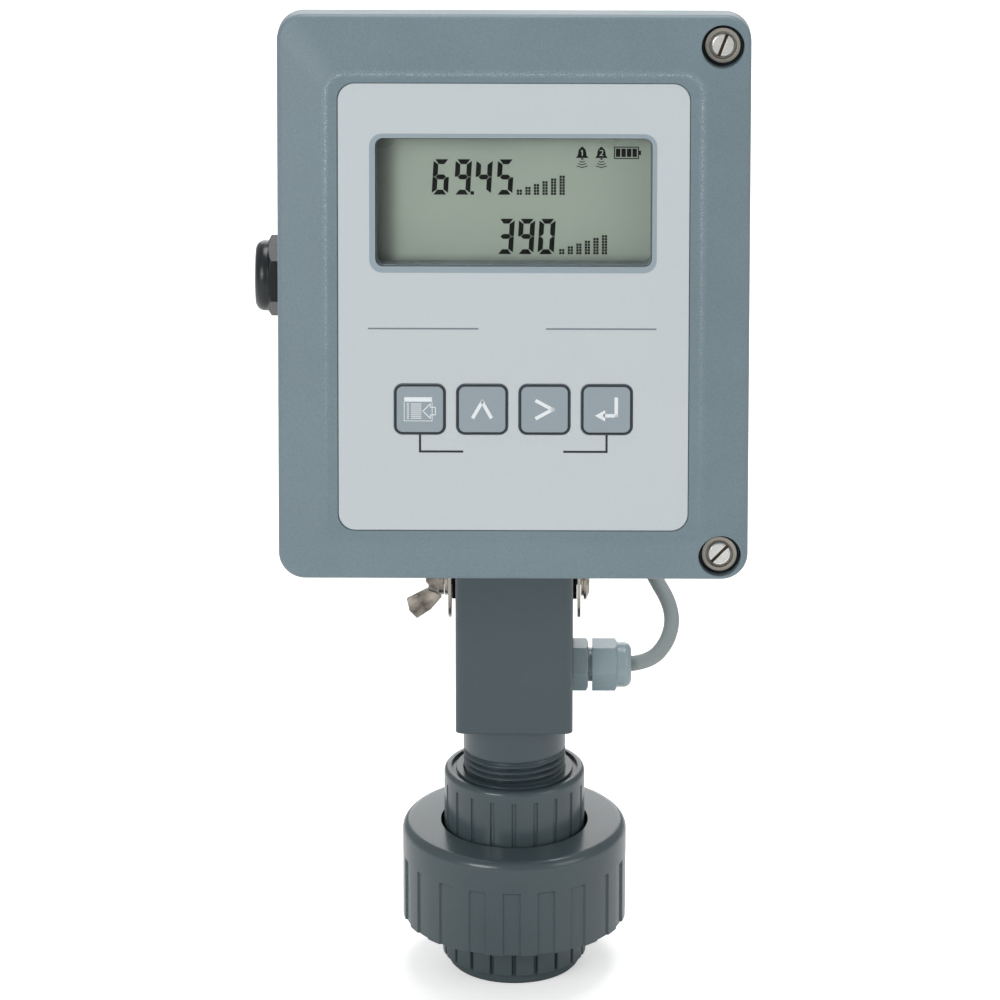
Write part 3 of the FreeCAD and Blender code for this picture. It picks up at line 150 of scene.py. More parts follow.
def noise(tree, place, scale, detail=3.0):
    """Noise whose grains are about 1/scale metres wide."""
    node = tree.nodes.new("ShaderNodeTexNoise")
    node.inputs["Scale"].default_value = scale
    node.inputs["Detail"].default_value = detail
    tree.links.new(place, node.inputs["Vector"])
    return node.outputs["Fac"]


def ramp(tree, fac, stops):
    node = tree.nodes.new("ShaderNodeValToRGB")
    elements = node.color_ramp.elements
    while len(elements) < len(stops):
        elements.new(0.5)
    for element, (position, shade) in zip(elements, stops):
        element.position = position
        element.color = shade
    tree.links.new(fac, node.inputs["Fac"])
    return node.outputs["Color"]


def blend_colours(tree, fac, first, second, kind="MIX"):
    node = tree.nodes.new("ShaderNodeMix")
    node.data_type = "RGBA"
    node.blend_type = kind
    for socket, value in ((0, fac), (6, first), (7, second)):
        feed(tree, node.inputs[socket], value)
    return node.outputs[2]


def multiply(tree, first, second):
    return blend_colours(tree, 1.0, first, second, "MULTIPLY")


def overlay(tree, first, second):
    return blend_colours(tree, 1.0, first, second, "OVERLAY")


def map_range(tree, value, start, end, low=0.0, high=1.0, kind="LINEAR"):
    node = tree.nodes.new("ShaderNodeMapRange")
    node.interpolation_type = kind
    for name, number in (("From Min", start), ("From Max", end), ("To Min", low), ("To Max", high)):
        node.inputs[name].default_value = number
    tree.links.new(value, node.inputs["Value"])
    return node.outputs["Result"]


def vector_maths(tree, operation, first, second=None, output="Vector"):
    node = tree.nodes.new("ShaderNodeVectorMath")
    node.operation = operation
    feed(tree, node.inputs[0], first)
    if second is not None:
        feed(tree, node.inputs[1], second)
    return node.outputs[output]


def along(tree, place, axis):
    """How far a place lies along an axis."""
    return vector_maths(tree, "DOT_PRODUCT", place, axis, "Value")


def maths(tree, operation, first, second):
    node = tree.nodes.new("ShaderNodeMath")
    node.operation = operation
    feed(tree, node.inputs[0], first)
    feed(tree, node.inputs[1], second)
    return node.outputs["Value"]


def relief(tree, shader, heights, edge):
    """Bumps, with distances in millimetres, on top of edges that are rounded by a radius."""
    rounded = tree.nodes.new("ShaderNodeBevel")
    rounded.samples = 6
    rounded.inputs["Radius"].default_value = edge * MM
    normal = rounded.outputs["Normal"]
    for height, distance, strength in heights:
        bump = tree.nodes.new("ShaderNodeBump")
        bump.inputs["Distance"].default_value = distance * MM
        bump.inputs["Strength"].default_value = strength
        tree.links.new(height, bump.inputs["Height"])
        tree.links.new(normal, bump.inputs["Normal"])
        normal = bump.outputs["Normal"]
    tree.links.new(normal, shader.inputs["Normal"])


def varied(shade, amount):
    """Two stops, darker and lighter than a colour by a share."""
    dark = tuple(c * (1 - amount) for c in shade[:3]) + (1.0,)
    light = tuple(min(1.0, c * (1 + amount)) for c in shade[:3]) + (1.0,)
    return [(0.3, dark), (0.7, light)]


def roughness(tree, shader, fac, rough):
    tree.links.new(map_range(tree, fac, 0.0, 1.0, *rough), shader.inputs["Roughness"])


# Materials: grain is the fineness of the speckle, edge the radius of the edges in millimetres

HOLLOW_REACH = 1.5
MIDDLE_GREY = grey(0.5)


def plastic(name, shade, speckle=0.06, cloud=0.03, grain=2600.0, rough=(0.35, 0.5), pits=0.25, edge=0.4,
            hollow_shade=0.0):
    """Moulded plastic: a fine speckle, a slow drift of colour, an etched skin and painted shade that darkens its
    hollows.
    """
    made, tree, shader, place = surface_start(name)
    slow = noise(tree, place, 45.0, 2.0)
    speckled = ramp(tree, noise(tree, place, grain), varied(colour(*shade), speckle))
    mixed = overlay(tree, speckled, ramp(tree, slow, varied(MIDDLE_GREY, cloud)))
    # Painted shade: ambient occlusion darkens the base colour in hollows and grooves.
    if hollow_shade:
        hollow = tree.nodes.new("ShaderNodeAmbientOcclusion")
        hollow.samples = 8
        hollow.inputs["Distance"].default_value = HOLLOW_REACH * MM
        hollow_shade_ramp = ramp(tree, hollow.outputs["AO"], [(0.35, grey(1 - hollow_shade)), (0.85, WHITE)])
        mixed = multiply(tree, mixed, hollow_shade_ramp)
    tree.links.new(mixed, shader.inputs["Base Color"])
    roughness(tree, shader, slow, rough)
    skin = noise(tree, place, grain * 0.6, 4.0)
    sink = noise(tree, place, 90.0, 1.0)
    relief(tree, shader, [(sink, 0.4, 0.12), (skin, 0.05, pits)], edge)
    return made


def metal(name, shade, rough=(0.22, 0.38), reflection_patches=0.05, metallic=1.0):
    """Metal with fine marks, and slow lighter and darker areas in its colour: painted reflections that stand for
    what it mirrors.
    """
    made, tree, shader, place = surface_start(name)
    shader.inputs["Metallic"].default_value = metallic
    fine = noise(tree, place, 1400.0, 4.0)
    reflection_and_gloss_noise = noise(tree, place, 170.0, 3.0)
    base = ramp(tree, fine, varied(colour(*shade), 0.06))
    # Painted reflections: slow noise lightens and darkens the base colour in broad areas.
    painted_reflections = ramp(tree, reflection_and_gloss_noise, varied(MIDDLE_GREY, reflection_patches))
    tree.links.new(overlay(tree, base, painted_reflections), shader.inputs["Base Color"])
    roughness(tree, shader, reflection_and_gloss_noise, rough)
    relief(tree, shader, [(fine, 0.03, 0.15)], 0.2)
    return made


def ink(name, shade, rough=0.5, shine=0.5):
    """Printed ink: a flat colour broken by the grain of the print."""
    made, tree, shader, place = surface_start(name)
    grain = ramp(tree, noise(tree, place, 5000.0), varied(colour(*shade), 0.05))
    tree.links.new(grain, shader.inputs["Base Color"])
    shader.inputs["Roughness"].default_value = rough
    shader.inputs["Specular IOR Level"].default_value = shine
    return made


# Painted shadow along the display's left and lower edges: axis, width in millimetres and darkest share.
SHADOWED_EDGES = ((ACROSS, 8.5, 0.30), (UP, 3.0, 0.62))


def display_glass(name, **look):
    """Grey-green display whose colour darkens along the left and lower edges of the window: painted shadow from
    the window's walls.
    """
    made = plastic(name, **look)
    tree, shader, place, base = reopen(made)
    corner = place_on(WINDOW[0], WINDOW[2], LCD_FACE)
    # Painted shadow: the base colour darkens towards each edge.
    for axis, width, dark in SHADOWED_EDGES:
        start = corner.dot(axis)
        fade = map_range(tree, along(tree, place, axis), start, start + width * MM, kind="SMOOTHSTEP")
        shadow = ramp(tree, fade, [(0.0, (dark, dark, dark * 1.06, 1)), (1.0, WHITE)])
        base = multiply(tree, base, shadow)
    tree.links.new(base, shader.inputs["Base Color"])
    return made


CREASE_CORNER = 6.0
CREASE_REACH = 2.0
CREASE_DEPTH = 80.0
# Colour of the painted highlight along the crease.
CREASE_HIGHLIGHT = (178, 193, 199)
CREASE_FULL_HEIGHT = 0.6


def distance_from_core(tree, across, height):
    """Distance from the panel's core: it is the crease's corner radius all along the crease."""
    spot = tree.nodes.new("ShaderNodeCombineXYZ")
    tree.links.new(across, spot.inputs["X"])
    tree.links.new(height, spot.inputs["Y"])
    core = Vector((PANEL_HALF_WIDTH - CREASE_CORNER, PANEL_HALF_HEIGHT - CREASE_CORNER, 0)) * MM
    beyond = vector_maths(tree, "SUBTRACT", vector_maths(tree, "ABSOLUTE", spot.outputs["Vector"]), core)
    return vector_maths(tree, "LENGTH", vector_maths(tree, "MAXIMUM", beyond, (0, 0, 0)), output="Value")


def plastic_with_crease_highlight(name, **look):
    """Plastic with a painted highlight along the crease round the raised panel: broken lighter flecks, stronger
    near its top.
    """
    made = plastic(name, **look)
    tree, shader, place, base = reopen(made)
    from_middle = vector_maths(tree, "SUBTRACT", place, place_on(0, PANEL_MIDDLE, 0))
    across, height, depth = (along(tree, from_middle, axis) for axis in (ACROSS, UP, OUT))
    inside = (CREASE_CORNER - CREASE_REACH) * MM
    outside = (CREASE_CORNER + CREASE_REACH) * MM
    nearness = map_range(tree, distance_from_core(tree, across, height), inside, outside)
    share = ramp(tree, nearness,
                 [(0.2, BLACK), (0.42, grey(0.4)), (0.5, WHITE), (0.6, grey(0.4)), (0.95, BLACK)])
    highlight_specks = ramp(tree, noise(tree, place, 2400.0, 4.0), [(0.48, grey(0.1)), (0.66, WHITE)])
    # The painted highlight fades out towards the bottom of the panel.
    highlight_by_height = map_range(tree, height, -PANEL_HALF_HEIGHT * MM, PANEL_HALF_HEIGHT * CREASE_FULL_HEIGHT * MM)
    front = maths(tree, "GREATER_THAN", depth, CREASE_DEPTH * MM)
    for mask in (highlight_specks, highlight_by_height, front):
        share = multiply(tree, share, mask)
    tree.links.new(blend_colours(tree, share, base, colour(*CREASE_HIGHLIGHT)), shader.inputs["Base Color"])
    return made


def clear_pane(name):
    """Clear sheet that lets light through to what is behind it."""
    made, tree, shader, place = surface_start(name)
    shader.inputs["Base Color"].default_value = (0.97, 0.985, 0.98, 1.0)
    shader.inputs["Transmission Weight"].default_value = 1.0
    shader.inputs["IOR"].default_value = 1.2
    roughness(tree, shader, noise(tree, place, 60.0), (0.01, 0.04))
    through = tree.nodes.new("ShaderNodeBsdfTransparent")
    through.inputs["Color"].default_value = (0.95, 0.96, 0.955, 1.0)
    path = tree.nodes.new("ShaderNodeLightPath")
    either = tree.nodes.new("ShaderNodeMixShader")
    tree.links.new(path.outputs["Is Shadow Ray"], either.inputs[0])
    tree.links.new(shader.outputs["BSDF"], either.inputs[1])
    tree.links.new(through.outputs["BSDF"], either.inputs[2])
    tree.links.new(either.outputs["Shader"], tree.nodes["Material Output"].inputs["Surface"])
    return made


def circuit_board(name):
    """Green solder mask over copper that shows as a slightly lighter maze."""
    made, tree, shader, place = surface_start(name)
    grid = tree.nodes.new("ShaderNodeTexBrick")
    grid.inputs["Scale"].default_value = 160.0
    grid.inputs["Color1"].default_value = colour(18, 88, 48)
    grid.inputs["Color2"].default_value = colour(22, 96, 54)
    grid.inputs["Mortar"].default_value = colour(38, 118, 68)
    grid.inputs["Mortar Size"].default_value = 0.03
    tree.links.new(place, grid.inputs["Vector"])
    tree.links.new(grid.outputs["Color"], shader.inputs["Base Color"])
    shader.inputs["Roughness"].default_value = 0.35
    relief(tree, shader, [(grid.outputs["Fac"], 0.03, 0.4)], 0.1)
    return made


# The surface of each material slot

PLASTICS = {
    # Block and union plastic take painted shade in their hollows and grooves.
    "block_plastic": dict(shade=(68, 82, 87), speckle=0.05, rough=(0.25, 0.35), pits=0.10, hollow_shade=0.6),
    "union_plastic": dict(shade=(71, 84, 88), speckle=0.05, cloud=0.04, rough=(0.18, 0.26), pits=0.06,
                          hollow_shade=0.6),
    "gland_plastic": dict(shade=(143, 160, 166), speckle=0.04, cloud=0.02, rough=(0.2, 0.3), pits=0.08),
    "black_plastic": dict(shade=(27, 33, 36), speckle=0.08, rough=(0.22, 0.34), pits=0.12),
    "cable_jacket": dict(shade=(142, 151, 151), speckle=0.04, cloud=0.02, rough=(0.4, 0.5), pits=0.15),
    "black_rubber": dict(shade=(28, 30, 31), speckle=0.10, cloud=0.04, grain=1800.0, rough=(0.6, 0.75),
                         pits=0.35),
    "gasket_foam": dict(shade=(34, 36, 37), speckle=0.20, cloud=0.05, grain=1500.0, rough=(0.8, 0.9),
                        pits=0.8),
    "terminal_plastic": dict(shade=(52, 128, 76), speckle=0.05, rough=(0.35, 0.45), pits=0.15),
    "battery_wrap": dict(shade=(58, 66, 74), speckle=0.03, cloud=0.02, rough=(0.18, 0.28), pits=0.05),
    "label_film": dict(shade=(197, 205, 208), speckle=0.025, cloud=0.01, grain=3200.0, rough=(0.42, 0.5),
                       pits=0.20, edge=0.1),
    "key_film": dict(shade=(148, 161, 168), speckle=0.03, cloud=0.01, grain=3200.0, rough=(0.42, 0.5),
                     pits=0.20, edge=0.2),
}
SURFACES = {name: plastic(name, **look) for name, look in PLASTICS.items()}
SURFACES.update({
    "cover_plastic": plastic_with_crease_highlight("cover_plastic", shade=(115, 133, 141), speckle=0.10, grain=2200.0,
                                     rough=(0.38, 0.5), pits=0.35),
    "lcd_green": display_glass("lcd_green", shade=(146, 156, 144), speckle=0.02, cloud=0.02,
                               rough=(0.25, 0.32), pits=0.02, edge=0.1),
    "stainless": metal("stainless", (176, 172, 164), (0.2, 0.34), 0.12),
    "sleeve_metal": metal("sleeve_metal", (176, 172, 163), (0.35, 0.5)),
    "brass_insert": metal("brass_insert", (214, 178, 110), (0.25, 0.4)),
    "window_clear": clear_pane("window_clear"),
    "board_green": circuit_board("board_green"),
})

INK_DARK = ink("ink_dark", (28, 38, 44))
INK_BLUE = ink("ink_blue_grey", (150, 165, 174))
INK_GREY = ink("ink_grey", (118, 130, 137))
INK_WHITE = ink("ink_white", (232, 238, 240))
INK_LCD = ink("lcd_segment", (9, 11, 10), 0.4, 0.1)
INK_LCD_LIGHT = ink("lcd_light", (152, 163, 151), 0.3)
# Wing nut, washer and bolt steel, with strong painted reflections in its colour.
STEEL_PAINTED_REFLECTIONS = metal("steel_painted_reflections", (146, 140, 131), (0.12, 0.34), 0.75)
SCREW_STEEL = metal("screw_steel", (244, 243, 239), (0.16, 0.3), 0.3, 0.7)
# Dark fills for the screw slots and recesses: painted shade.
SLOT_SHADOW = metal("slot_shadow", (74, 64, 54), (0.5, 0.6), 0.3)
RECESS_SHADOW = plastic("recess_shadow", (34, 47, 53))
WINDOW_WALL = plastic("window_wall", (104, 114, 121), rough=(0.15, 0.25))

OWN_SURFACES = {
    "wing_nut": STEEL_PAINTED_REFLECTIONS,
    "bolt_washer": STEEL_PAINTED_REFLECTIONS,
    "swivel_bolt": STEEL_PAINTED_REFLECTIONS,
    "cover_screw_lower": SCREW_STEEL,
    "cover_screw_upper": SCREW_STEEL,
}


def dress_nodes():
    wanted = {part["node"]: part["material_slot"] for part in frame["record"]["subparts"]}
    for name, item in NODES.items():
        if not item.material_slots:
            item.data.materials.append(None)
        surface = OWN_SURFACES.get(name, SURFACES[wanted[name]])
        for holder in item.material_slots:
            holder.material = surface


dress_nodes()


# Mesh helpers

SHARP = math.radians(28)


def make(name, mesh, body, slot, surface=None):
    """A finished mesh becomes a piece that rides on a body."""
    item = bpy.data.objects.new(name, mesh)
    bpy.context.scene.collection.objects.link(item)
    item.data.materials.append(surface or SURFACES[slot])
    if body:
        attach(item, body)
    return item


def from_bmesh(name, work):
    """The finished mesh, with its edges sharp where faces meet at more than the angle above."""
    bmesh.ops.recalc_face_normals(work, faces=work.faces[:])
    for edge in work.edges:
        edge.smooth = edge.calc_face_angle(0) < SHARP
    mesh = bpy.data.meshes.new(name)
    work.to_mesh(mesh)
    work.free()
    return mesh


def make_from(name, work, body, slot, surface=None):
    return make(name, from_bmesh(name, work), body, slot, surface)


def outline_at(work, points, depth):
    """The corners of an outline in the housing's frame, at one depth."""
    return [work.verts.new(place_on(x, y, depth)) for x, y in points]


def add_prism(work, points, low, high):
    """A flat outline, in millimetres in the housing's frame, raised from one depth to another."""
    bottom, top = (outline_at(work, points, depth) for depth in (low, high))
    work.faces.new(bottom)
    work.faces.new(top)
    for i in range(len(points)):
        j = (i + 1) % len(points)
        work.faces.new((bottom[i], bottom[j], top[j], top[i]))


def skin(work, rings):
    """Faces from each ring of points to the next, and from the last back to the first."""
    count = len(rings[0])
    for first, second in zip(rings, rings[1:] + rings[:1]):
        for i in range(count):
            j = (i + 1) % count
            work.faces.new((first[i], first[j], second[j], second[i]))


def add_band(work, outer, inner, low, high):
    """The space between two outlines with as many points, raised from one depth to another."""
    outer_low, outer_high = (outline_at(work, outer, depth) for depth in (low, high))
    inner_low, inner_high = (outline_at(work, inner, depth) for depth in (low, high))
    skin(work, [outer_low, outer_high, inner_high, inner_low])


def smooth_skin(work, rings):
    skin(work, rings)
    for face in work.faces:
        face.smooth = True


def polar(radius, angle, height):
    """A place round the pipe's axis, from millimetres and radians."""
    return Vector((radius * math.cos(angle), radius * math.sin(angle), height)) * MM


def round_box(left, right, low, high, radius, steps=6):
    points = []
    corners = ((right - radius, high - radius, 0), (left + radius, high - radius, 90),
               (left + radius, low + radius, 180), (right - radius, low + radius, 270))
    for x, y, start in corners:
        for step in range(steps + 1):
            angle = math.radians(start + 90 * step / steps)
            points.append((x + radius * math.cos(angle), y + radius * math.sin(angle)))
    return points


def circle_points(x, y, radius, count=48):
    turns = [2 * math.pi * i / count for i in range(count)]
    return [(x + radius * math.cos(turn), y + radius * math.sin(turn)) for turn in turns]


def stroke(start, end, width):
    """A straight line with square ends as an outline."""
    (x0, y0), (x1, y1) = start, end
    length = math.hypot(x1 - x0, y1 - y0)
    ahead = ((x1 - x0) / length * width / 2, (y1 - y0) / length * width / 2)
    side = (-ahead[1], ahead[0])
    return [
        (x0 - ahead[0] + side[0], y0 - ahead[1] + side[1]),
        (x0 - ahead[0] - side[0], y0 - ahead[1] - side[1]),
        (x1 + ahead[0] - side[0], y1 + ahead[1] - side[1]),
        (x1 + ahead[0] + side[0], y1 + ahead[1] + side[1]),
    ]


def box(left, low, right, high):
    return [(left, low), (right, low), (right, high), (left, high)]


def open_box(left, low, right, high, width):
    """Four strokes round a box."""
    return [
        box(left, low, right, low + width),
        box(left, high - width, right, high),
        box(left, low + width, left + width, high - width),
        box(right - width, low + width, right, high - width),
    ]


def moved(points, x, y):
    return [(a + x, b + y) for a, b in points]


PRINT_THICKNESS = 0.04
PRINT_BED = 0.03


def printed(name, outlines, face, body, slot, surface, bands=()):
    """Ink on a face of the housing: filled outlines, and bands between two outlines."""
    work = bmesh.new()
    for points in outlines:
        add_prism(work, points, face - PRINT_BED, face + PRINT_THICKNESS)
    for outer, inner in bands:
        add_band(work, outer, inner, face - PRINT_BED, face + PRINT_THICKNESS)
    return make_from(name, work, body, slot, surface)


# Camera: a long lens, a little above the housing and square to it

CAMERA_TURN = 0.45
CAMERA_DIP = 21.7
CAMERA_DISTANCE = 2652.4
CAMERA_RISE = 151.45
CAMERA_LEFT = 4.74
SENSOR_WIDTH = 36.0
FOCAL_LENGTH = 288.0


def add_camera():
    turn = math.radians(CAMERA_TURN)
    dip = math.radians(CAMERA_DIP)
    right = Vector((math.cos(turn), math.sin(turn), 0))
    ahead = Vector((-math.sin(turn), math.cos(turn), 0))
    sky = Vector((0, 0, 1))
    look = ahead * math.cos(dip) - sky * math.sin(dip)
    up = ahead * math.sin(dip) + sky * math.cos(dip)
    place = up * CAMERA_RISE - look * CAMERA_DISTANCE - right * CAMERA_LEFT
    lens = bpy.data.cameras.new("camera")
    lens.sensor_width = SENSOR_WIDTH
    lens.lens = FOCAL_LENGTH
    lens.clip_end = 100.0
    camera = bpy.data.objects.new("camera", lens)
    camera.matrix_world = Matrix.Translation(place * MM) @ Matrix((right, up, -look)).transposed().to_4x4()
    bpy.context.scene.collection.objects.link(camera)
    bpy.context.scene.camera = camera


add_camera()


# Sensor cable: the same route as its solid

CABLE_POINTS = [
    (33.05, 0.0, 105.3),
    (43.45, 0.0, 105.3),
    (50.7, 3.0, 112.8),
    (51.8, 9.6, 121.3),
    (44.3, 19.5, 130.7),
    (38.8, 27.0, 143.0),
    (36.4, 26.0, 157.0),
    (36.0, 9.94, 169.37),
    (36.0, -3.94, 171.82),
]
CABLE_DIAMETER = 5.0


def cable_curve():
    """A smooth line through the cable's route."""
    curve = bpy.data.curves.new("sensor_cable_line", "CURVE")
    curve.dimensions = "3D"
    curve.resolution_u = 24
    spline = curve.splines.new("NURBS")
    spline.points.add(len(CABLE_POINTS) - 1)
    for point, (x, y, z) in zip(spline.points, CABLE_POINTS):
        point.co = (x * MM, y * MM, z * MM, 1.0)
    spline.order_u = 3
    spline.use_endpoint_u = True
    line = bpy.data.objects.new("sensor_cable_line", curve)
    bpy.context.scene.collection.objects.link(line)
    bpy.context.view_layer.update()
    return curve, line


def add_cable():
    curve, line = cable_curve()
    centre = bpy.data.meshes.new_from_object(line)
    curve.bevel_depth = CABLE_DIAMETER / 2 * MM
    curve.bevel_resolution = 6
    curve.use_fill_caps = True
    bpy.context.view_layer.update()
    tube = bpy.data.meshes.new_from_object(line.evaluated_get(bpy.context.evaluated_depsgraph_get()))
    bpy.data.objects.remove(line)
    bpy.data.meshes.remove(centre)
    tube.name = "sensor_cable_jacket"
    tube.materials.clear()
    for face in tube.polygons:
        face.use_smooth = True
    cable = make("sensor_cable_jacket", tube, None, "cable_jacket")
    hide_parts("sensor_cable")
    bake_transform(cable)


add_cable()


# Thread on the nipple, which runs out below the block

THREAD_RADIUS = 16.7
THREAD_DEPTH = 1.5
THREAD_PITCH = 2.2
THREAD_LOW = 57.5
THREAD_HIGH = 77.8
THREAD_FLANK = 2.3
THREAD_CREST = 0.15
NIPPLE_TOP = 98.0
NIPPLE_BORE = 12.2
POINTS_AROUND = 96
ROWS_PER_PITCH = 8


def thread_radius(height, turn):
    """Radius at a height, after a share of a whole turn."""
    phase = (height / THREAD_PITCH - turn) % 1
    groove = max(0.0, abs(phase - 0.5) * THREAD_FLANK - THREAD_CREST)
    runout = min(1.0, (THREAD_HIGH - height) / THREAD_PITCH)
    return THREAD_RADIUS - THREAD_DEPTH * groove * runout


def add_thread():
    work = bmesh.new()
    turns = [step / POINTS_AROUND for step in range(POINTS_AROUND)]
    rows = int((THREAD_HIGH - THREAD_LOW) / THREAD_PITCH * ROWS_PER_PITCH)
    heights = [THREAD_LOW + (THREAD_HIGH - THREAD_LOW) * row / rows for row in range(rows + 1)]
    circles = [[(thread_radius(height, turn), height) for turn in turns] for height in heights]
    plain = ((THREAD_RADIUS, NIPPLE_TOP), (NIPPLE_BORE, NIPPLE_TOP), (NIPPLE_BORE, THREAD_LOW))
    circles += [[corner] * POINTS_AROUND for corner in plain]
    rings = []
    for circle in circles:
        rings.append([work.verts.new(polar(radius, 2 * math.pi * turn, height))
                      for (radius, height), turn in zip(circle, turns)])
    smooth_skin(work, rings)
    piece = make_from("nipple_thread", work, "stem", "block_plastic")
    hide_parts("threaded_nipple")


add_thread()


# Union nut: as large as its solid, with twenty low ribs that slope in at their tops

def turned_sizes(node):
    """Bore, outside radius, bottom and top of a node round the pipe's axis, in millimetres."""
    item = NODES[node]
    spots = [item.matrix_world @ vertex.co / MM for vertex in item.data.vertices]
    radii = [spot.xy.length for spot in spots]
    heights = [spot.z for spot in spots]
    return min(radii), max(radii), min(heights), max(heights)


NUT_BORE, NUT_RADIUS, NUT_BOTTOM, NUT_TOP = turned_sizes("union_nut")
NUT_EDGE = 3.0
NUT_EDGE_STEPS = 8
NUT_INSIDE = 30.9
NUT_SHOULDER = 39.4
RIB_COUNT = 20
RIB_DEPTH = 0.6
RIB_TOP = 39.5
RIB_SLOPE = 0.6
RIB_TURN = -82.0
CREST_DEGREES = (-4.3, -2.0, 0.0, 2.0, 4.3)
VALLEY_DEGREES = (4.9, 7.0, 9.0, 11.0, 13.1)


def nut_rows():
    """Radius, height and how far a rib stands out, from the inner lower edge round to the shoulder."""
    rows = [(NUT_INSIDE, NUT_BOTTOM, 0)]
    rows += [(NUT_RADIUS, height, 1) for height in (NUT_BOTTOM, RIB_TOP - RIB_SLOPE)]
    rows.append((NUT_RADIUS, RIB_TOP, 0))
    for step in range(NUT_EDGE_STEPS + 1):
        turn = math.radians(90 * step / NUT_EDGE_STEPS)
        radius = NUT_RADIUS - NUT_EDGE * (1 - math.cos(turn))
        rows.append((radius, NUT_TOP - NUT_EDGE * (1 - math.sin(turn)), 0))
    rows += [(NUT_BORE, NUT_TOP, 0), (NUT_BORE, NUT_SHOULDER, 0), (NUT_INSIDE, NUT_SHOULDER, 0)]
    return rows


def nut_columns():
    """Degrees round the nut, each with 0 on a rib's crest and 1 between two ribs."""
    columns = []
    for rib in range(RIB_COUNT):
        middle = RIB_TURN + rib * 360 / RIB_COUNT
        columns += [(middle + degrees, 0) for degrees in CREST_DEGREES]
        columns += [(middle + degrees, 1) for degrees in VALLEY_DEGREES]
    return columns


def add_nut():
    work = bmesh.new()
    rings = []
    for radius, height, ribbed in nut_rows():
        ring = []
        for degrees, sunk in nut_columns():
            reach = radius - RIB_DEPTH * ribbed * sunk
            ring.append(work.verts.new(polar(reach, math.radians(degrees), height)))
        rings.append(ring)
    smooth_skin(work, rings)
    piece = make_from("union_nut_ribs", work, "nut", "union_plastic")
    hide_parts("union_nut")


add_nut()


# Print on the label

WINDOW_BORDER = (-45.0, 44.6, 115.1, 159.0)
BORDER_CORNER = 4.0
BORDER_GAP = 0.1
RULE_SPANS = ((-45.2, -11.2), (10.4, 44.4))
RULE_HEIGHT = 97.4
RULE_WIDTH = 0.5
BRACKET_OUTER = 29.2
BRACKET_INNER = 16.0
BRACKET_TOP = 63.4
BRACKET_BOTTOM = 58.3
BRACKET_WIDTH = 0.68


def window_outline(inset, corner):
    left, right, low, high = WINDOW
    return round_box(left + inset, right - inset, low + inset, high - inset, corner)


def add_label_print():
    outer = round_box(*WINDOW_BORDER, BORDER_CORNER)
    inner = window_outline(-BORDER_GAP, WINDOW_CORNER + BORDER_GAP)
    printed("window_border", [], LABEL_FACE, "cover", "label_film", INK_BLUE, [(outer, inner)])
    rules = [stroke((start, RULE_HEIGHT), (end, RULE_HEIGHT), RULE_WIDTH) for start, end in RULE_SPANS]
    printed("label_rules", rules, LABEL_FACE, "cover", "label_film", INK_GREY)
    lines = []
    for side in (-1, 1):
        outer = side * BRACKET_OUTER
        beside = side * (BRACKET_OUTER - BRACKET_WIDTH)
        inner = side * BRACKET_INNER
        lines.append(stroke((outer, BRACKET_TOP), (outer, BRACKET_BOTTOM), BRACKET_WIDTH))
        lines.append(stroke((beside, BRACKET_BOTTOM), (inner, BRACKET_BOTTOM), BRACKET_WIDTH))
    printed("label_lines", lines, LABEL_FACE, "cover", "label_film", INK_DARK)


add_label_print()


# Keys: each mark is drawn from the key's middle

KEY_CORNER = 2.6
KEY_EDGE = (0.05, 0.72)
MARK_WIDTH = 1.1


def menu_mark():
    """A page with a dark head, eight lines of entries and an arrow that points into it."""
    shapes = open_box(-5.0, -3.8, 3.94, 4.0, 0.2)
    shapes.append(box(-5.0, 2.44, 3.94, 4.0))
    for row in range(8):
        height = 1.7 - 0.65 * row
        shapes.append(box(-4.06, height - 0.15, -3.4, height + 0.15))
        shapes.append(box(-2.8, height - 0.13, 0.5, height + 0.13))
    arrow = [(0.94, -0.56), (3.3, -2.9), (3.3, -1.75), (4.9, -1.75), (4.9, 0.63), (3.3, 0.63), (3.3, 1.8)]
    shapes += [stroke(a, b, 0.3) for a, b in zip(arrow, arrow[1:] + arrow[:1])]
    return shapes


def up_mark():
    return [stroke((-2.75, -2.35), (0, 2.4), MARK_WIDTH), stroke((0, 2.4), (2.65, -2.35), MARK_WIDTH)]


def right_mark():
    return [stroke((-2.35, 2.65), (2.5, 0), MARK_WIDTH), stroke((2.5, 0), (-2.35, -2.65), MARK_WIDTH)]


def enter_mark():
    return [
        stroke((2.94, 3.4), (2.94, -1.9), MARK_WIDTH),
        stroke((2.9, -1.9), (-0.6, -1.9), MARK_WIDTH),
        [(-3.7, -1.9), (-0.5, -3.7), (-0.5, -0.1)],
    ]


def add_keys():
    marks = {"menu": menu_mark, "up": up_mark, "right": right_mark, "enter": enter_mark}
    for name, draw in marks.items():
        low, high = corners_of(f"key_{name}")
        body = f"{name}_key"
        edge = [round_box(low.x + inset, high.x - inset, low.y + inset, high.y - inset, KEY_CORNER - inset)
                for inset in KEY_EDGE]
        printed(f"key_{name}_edge", [], high.z, body, "key_film", INK_DARK, [edge])
        middle = (low + high) / 2
        shapes = [moved(points, middle.x, middle.y) for points in draw()]
        printed(f"key_{name}_mark", shapes, high.z, body, "key_film", INK_WHITE)


add_keys()


# Display: plain numerals, bar graphs and status marks

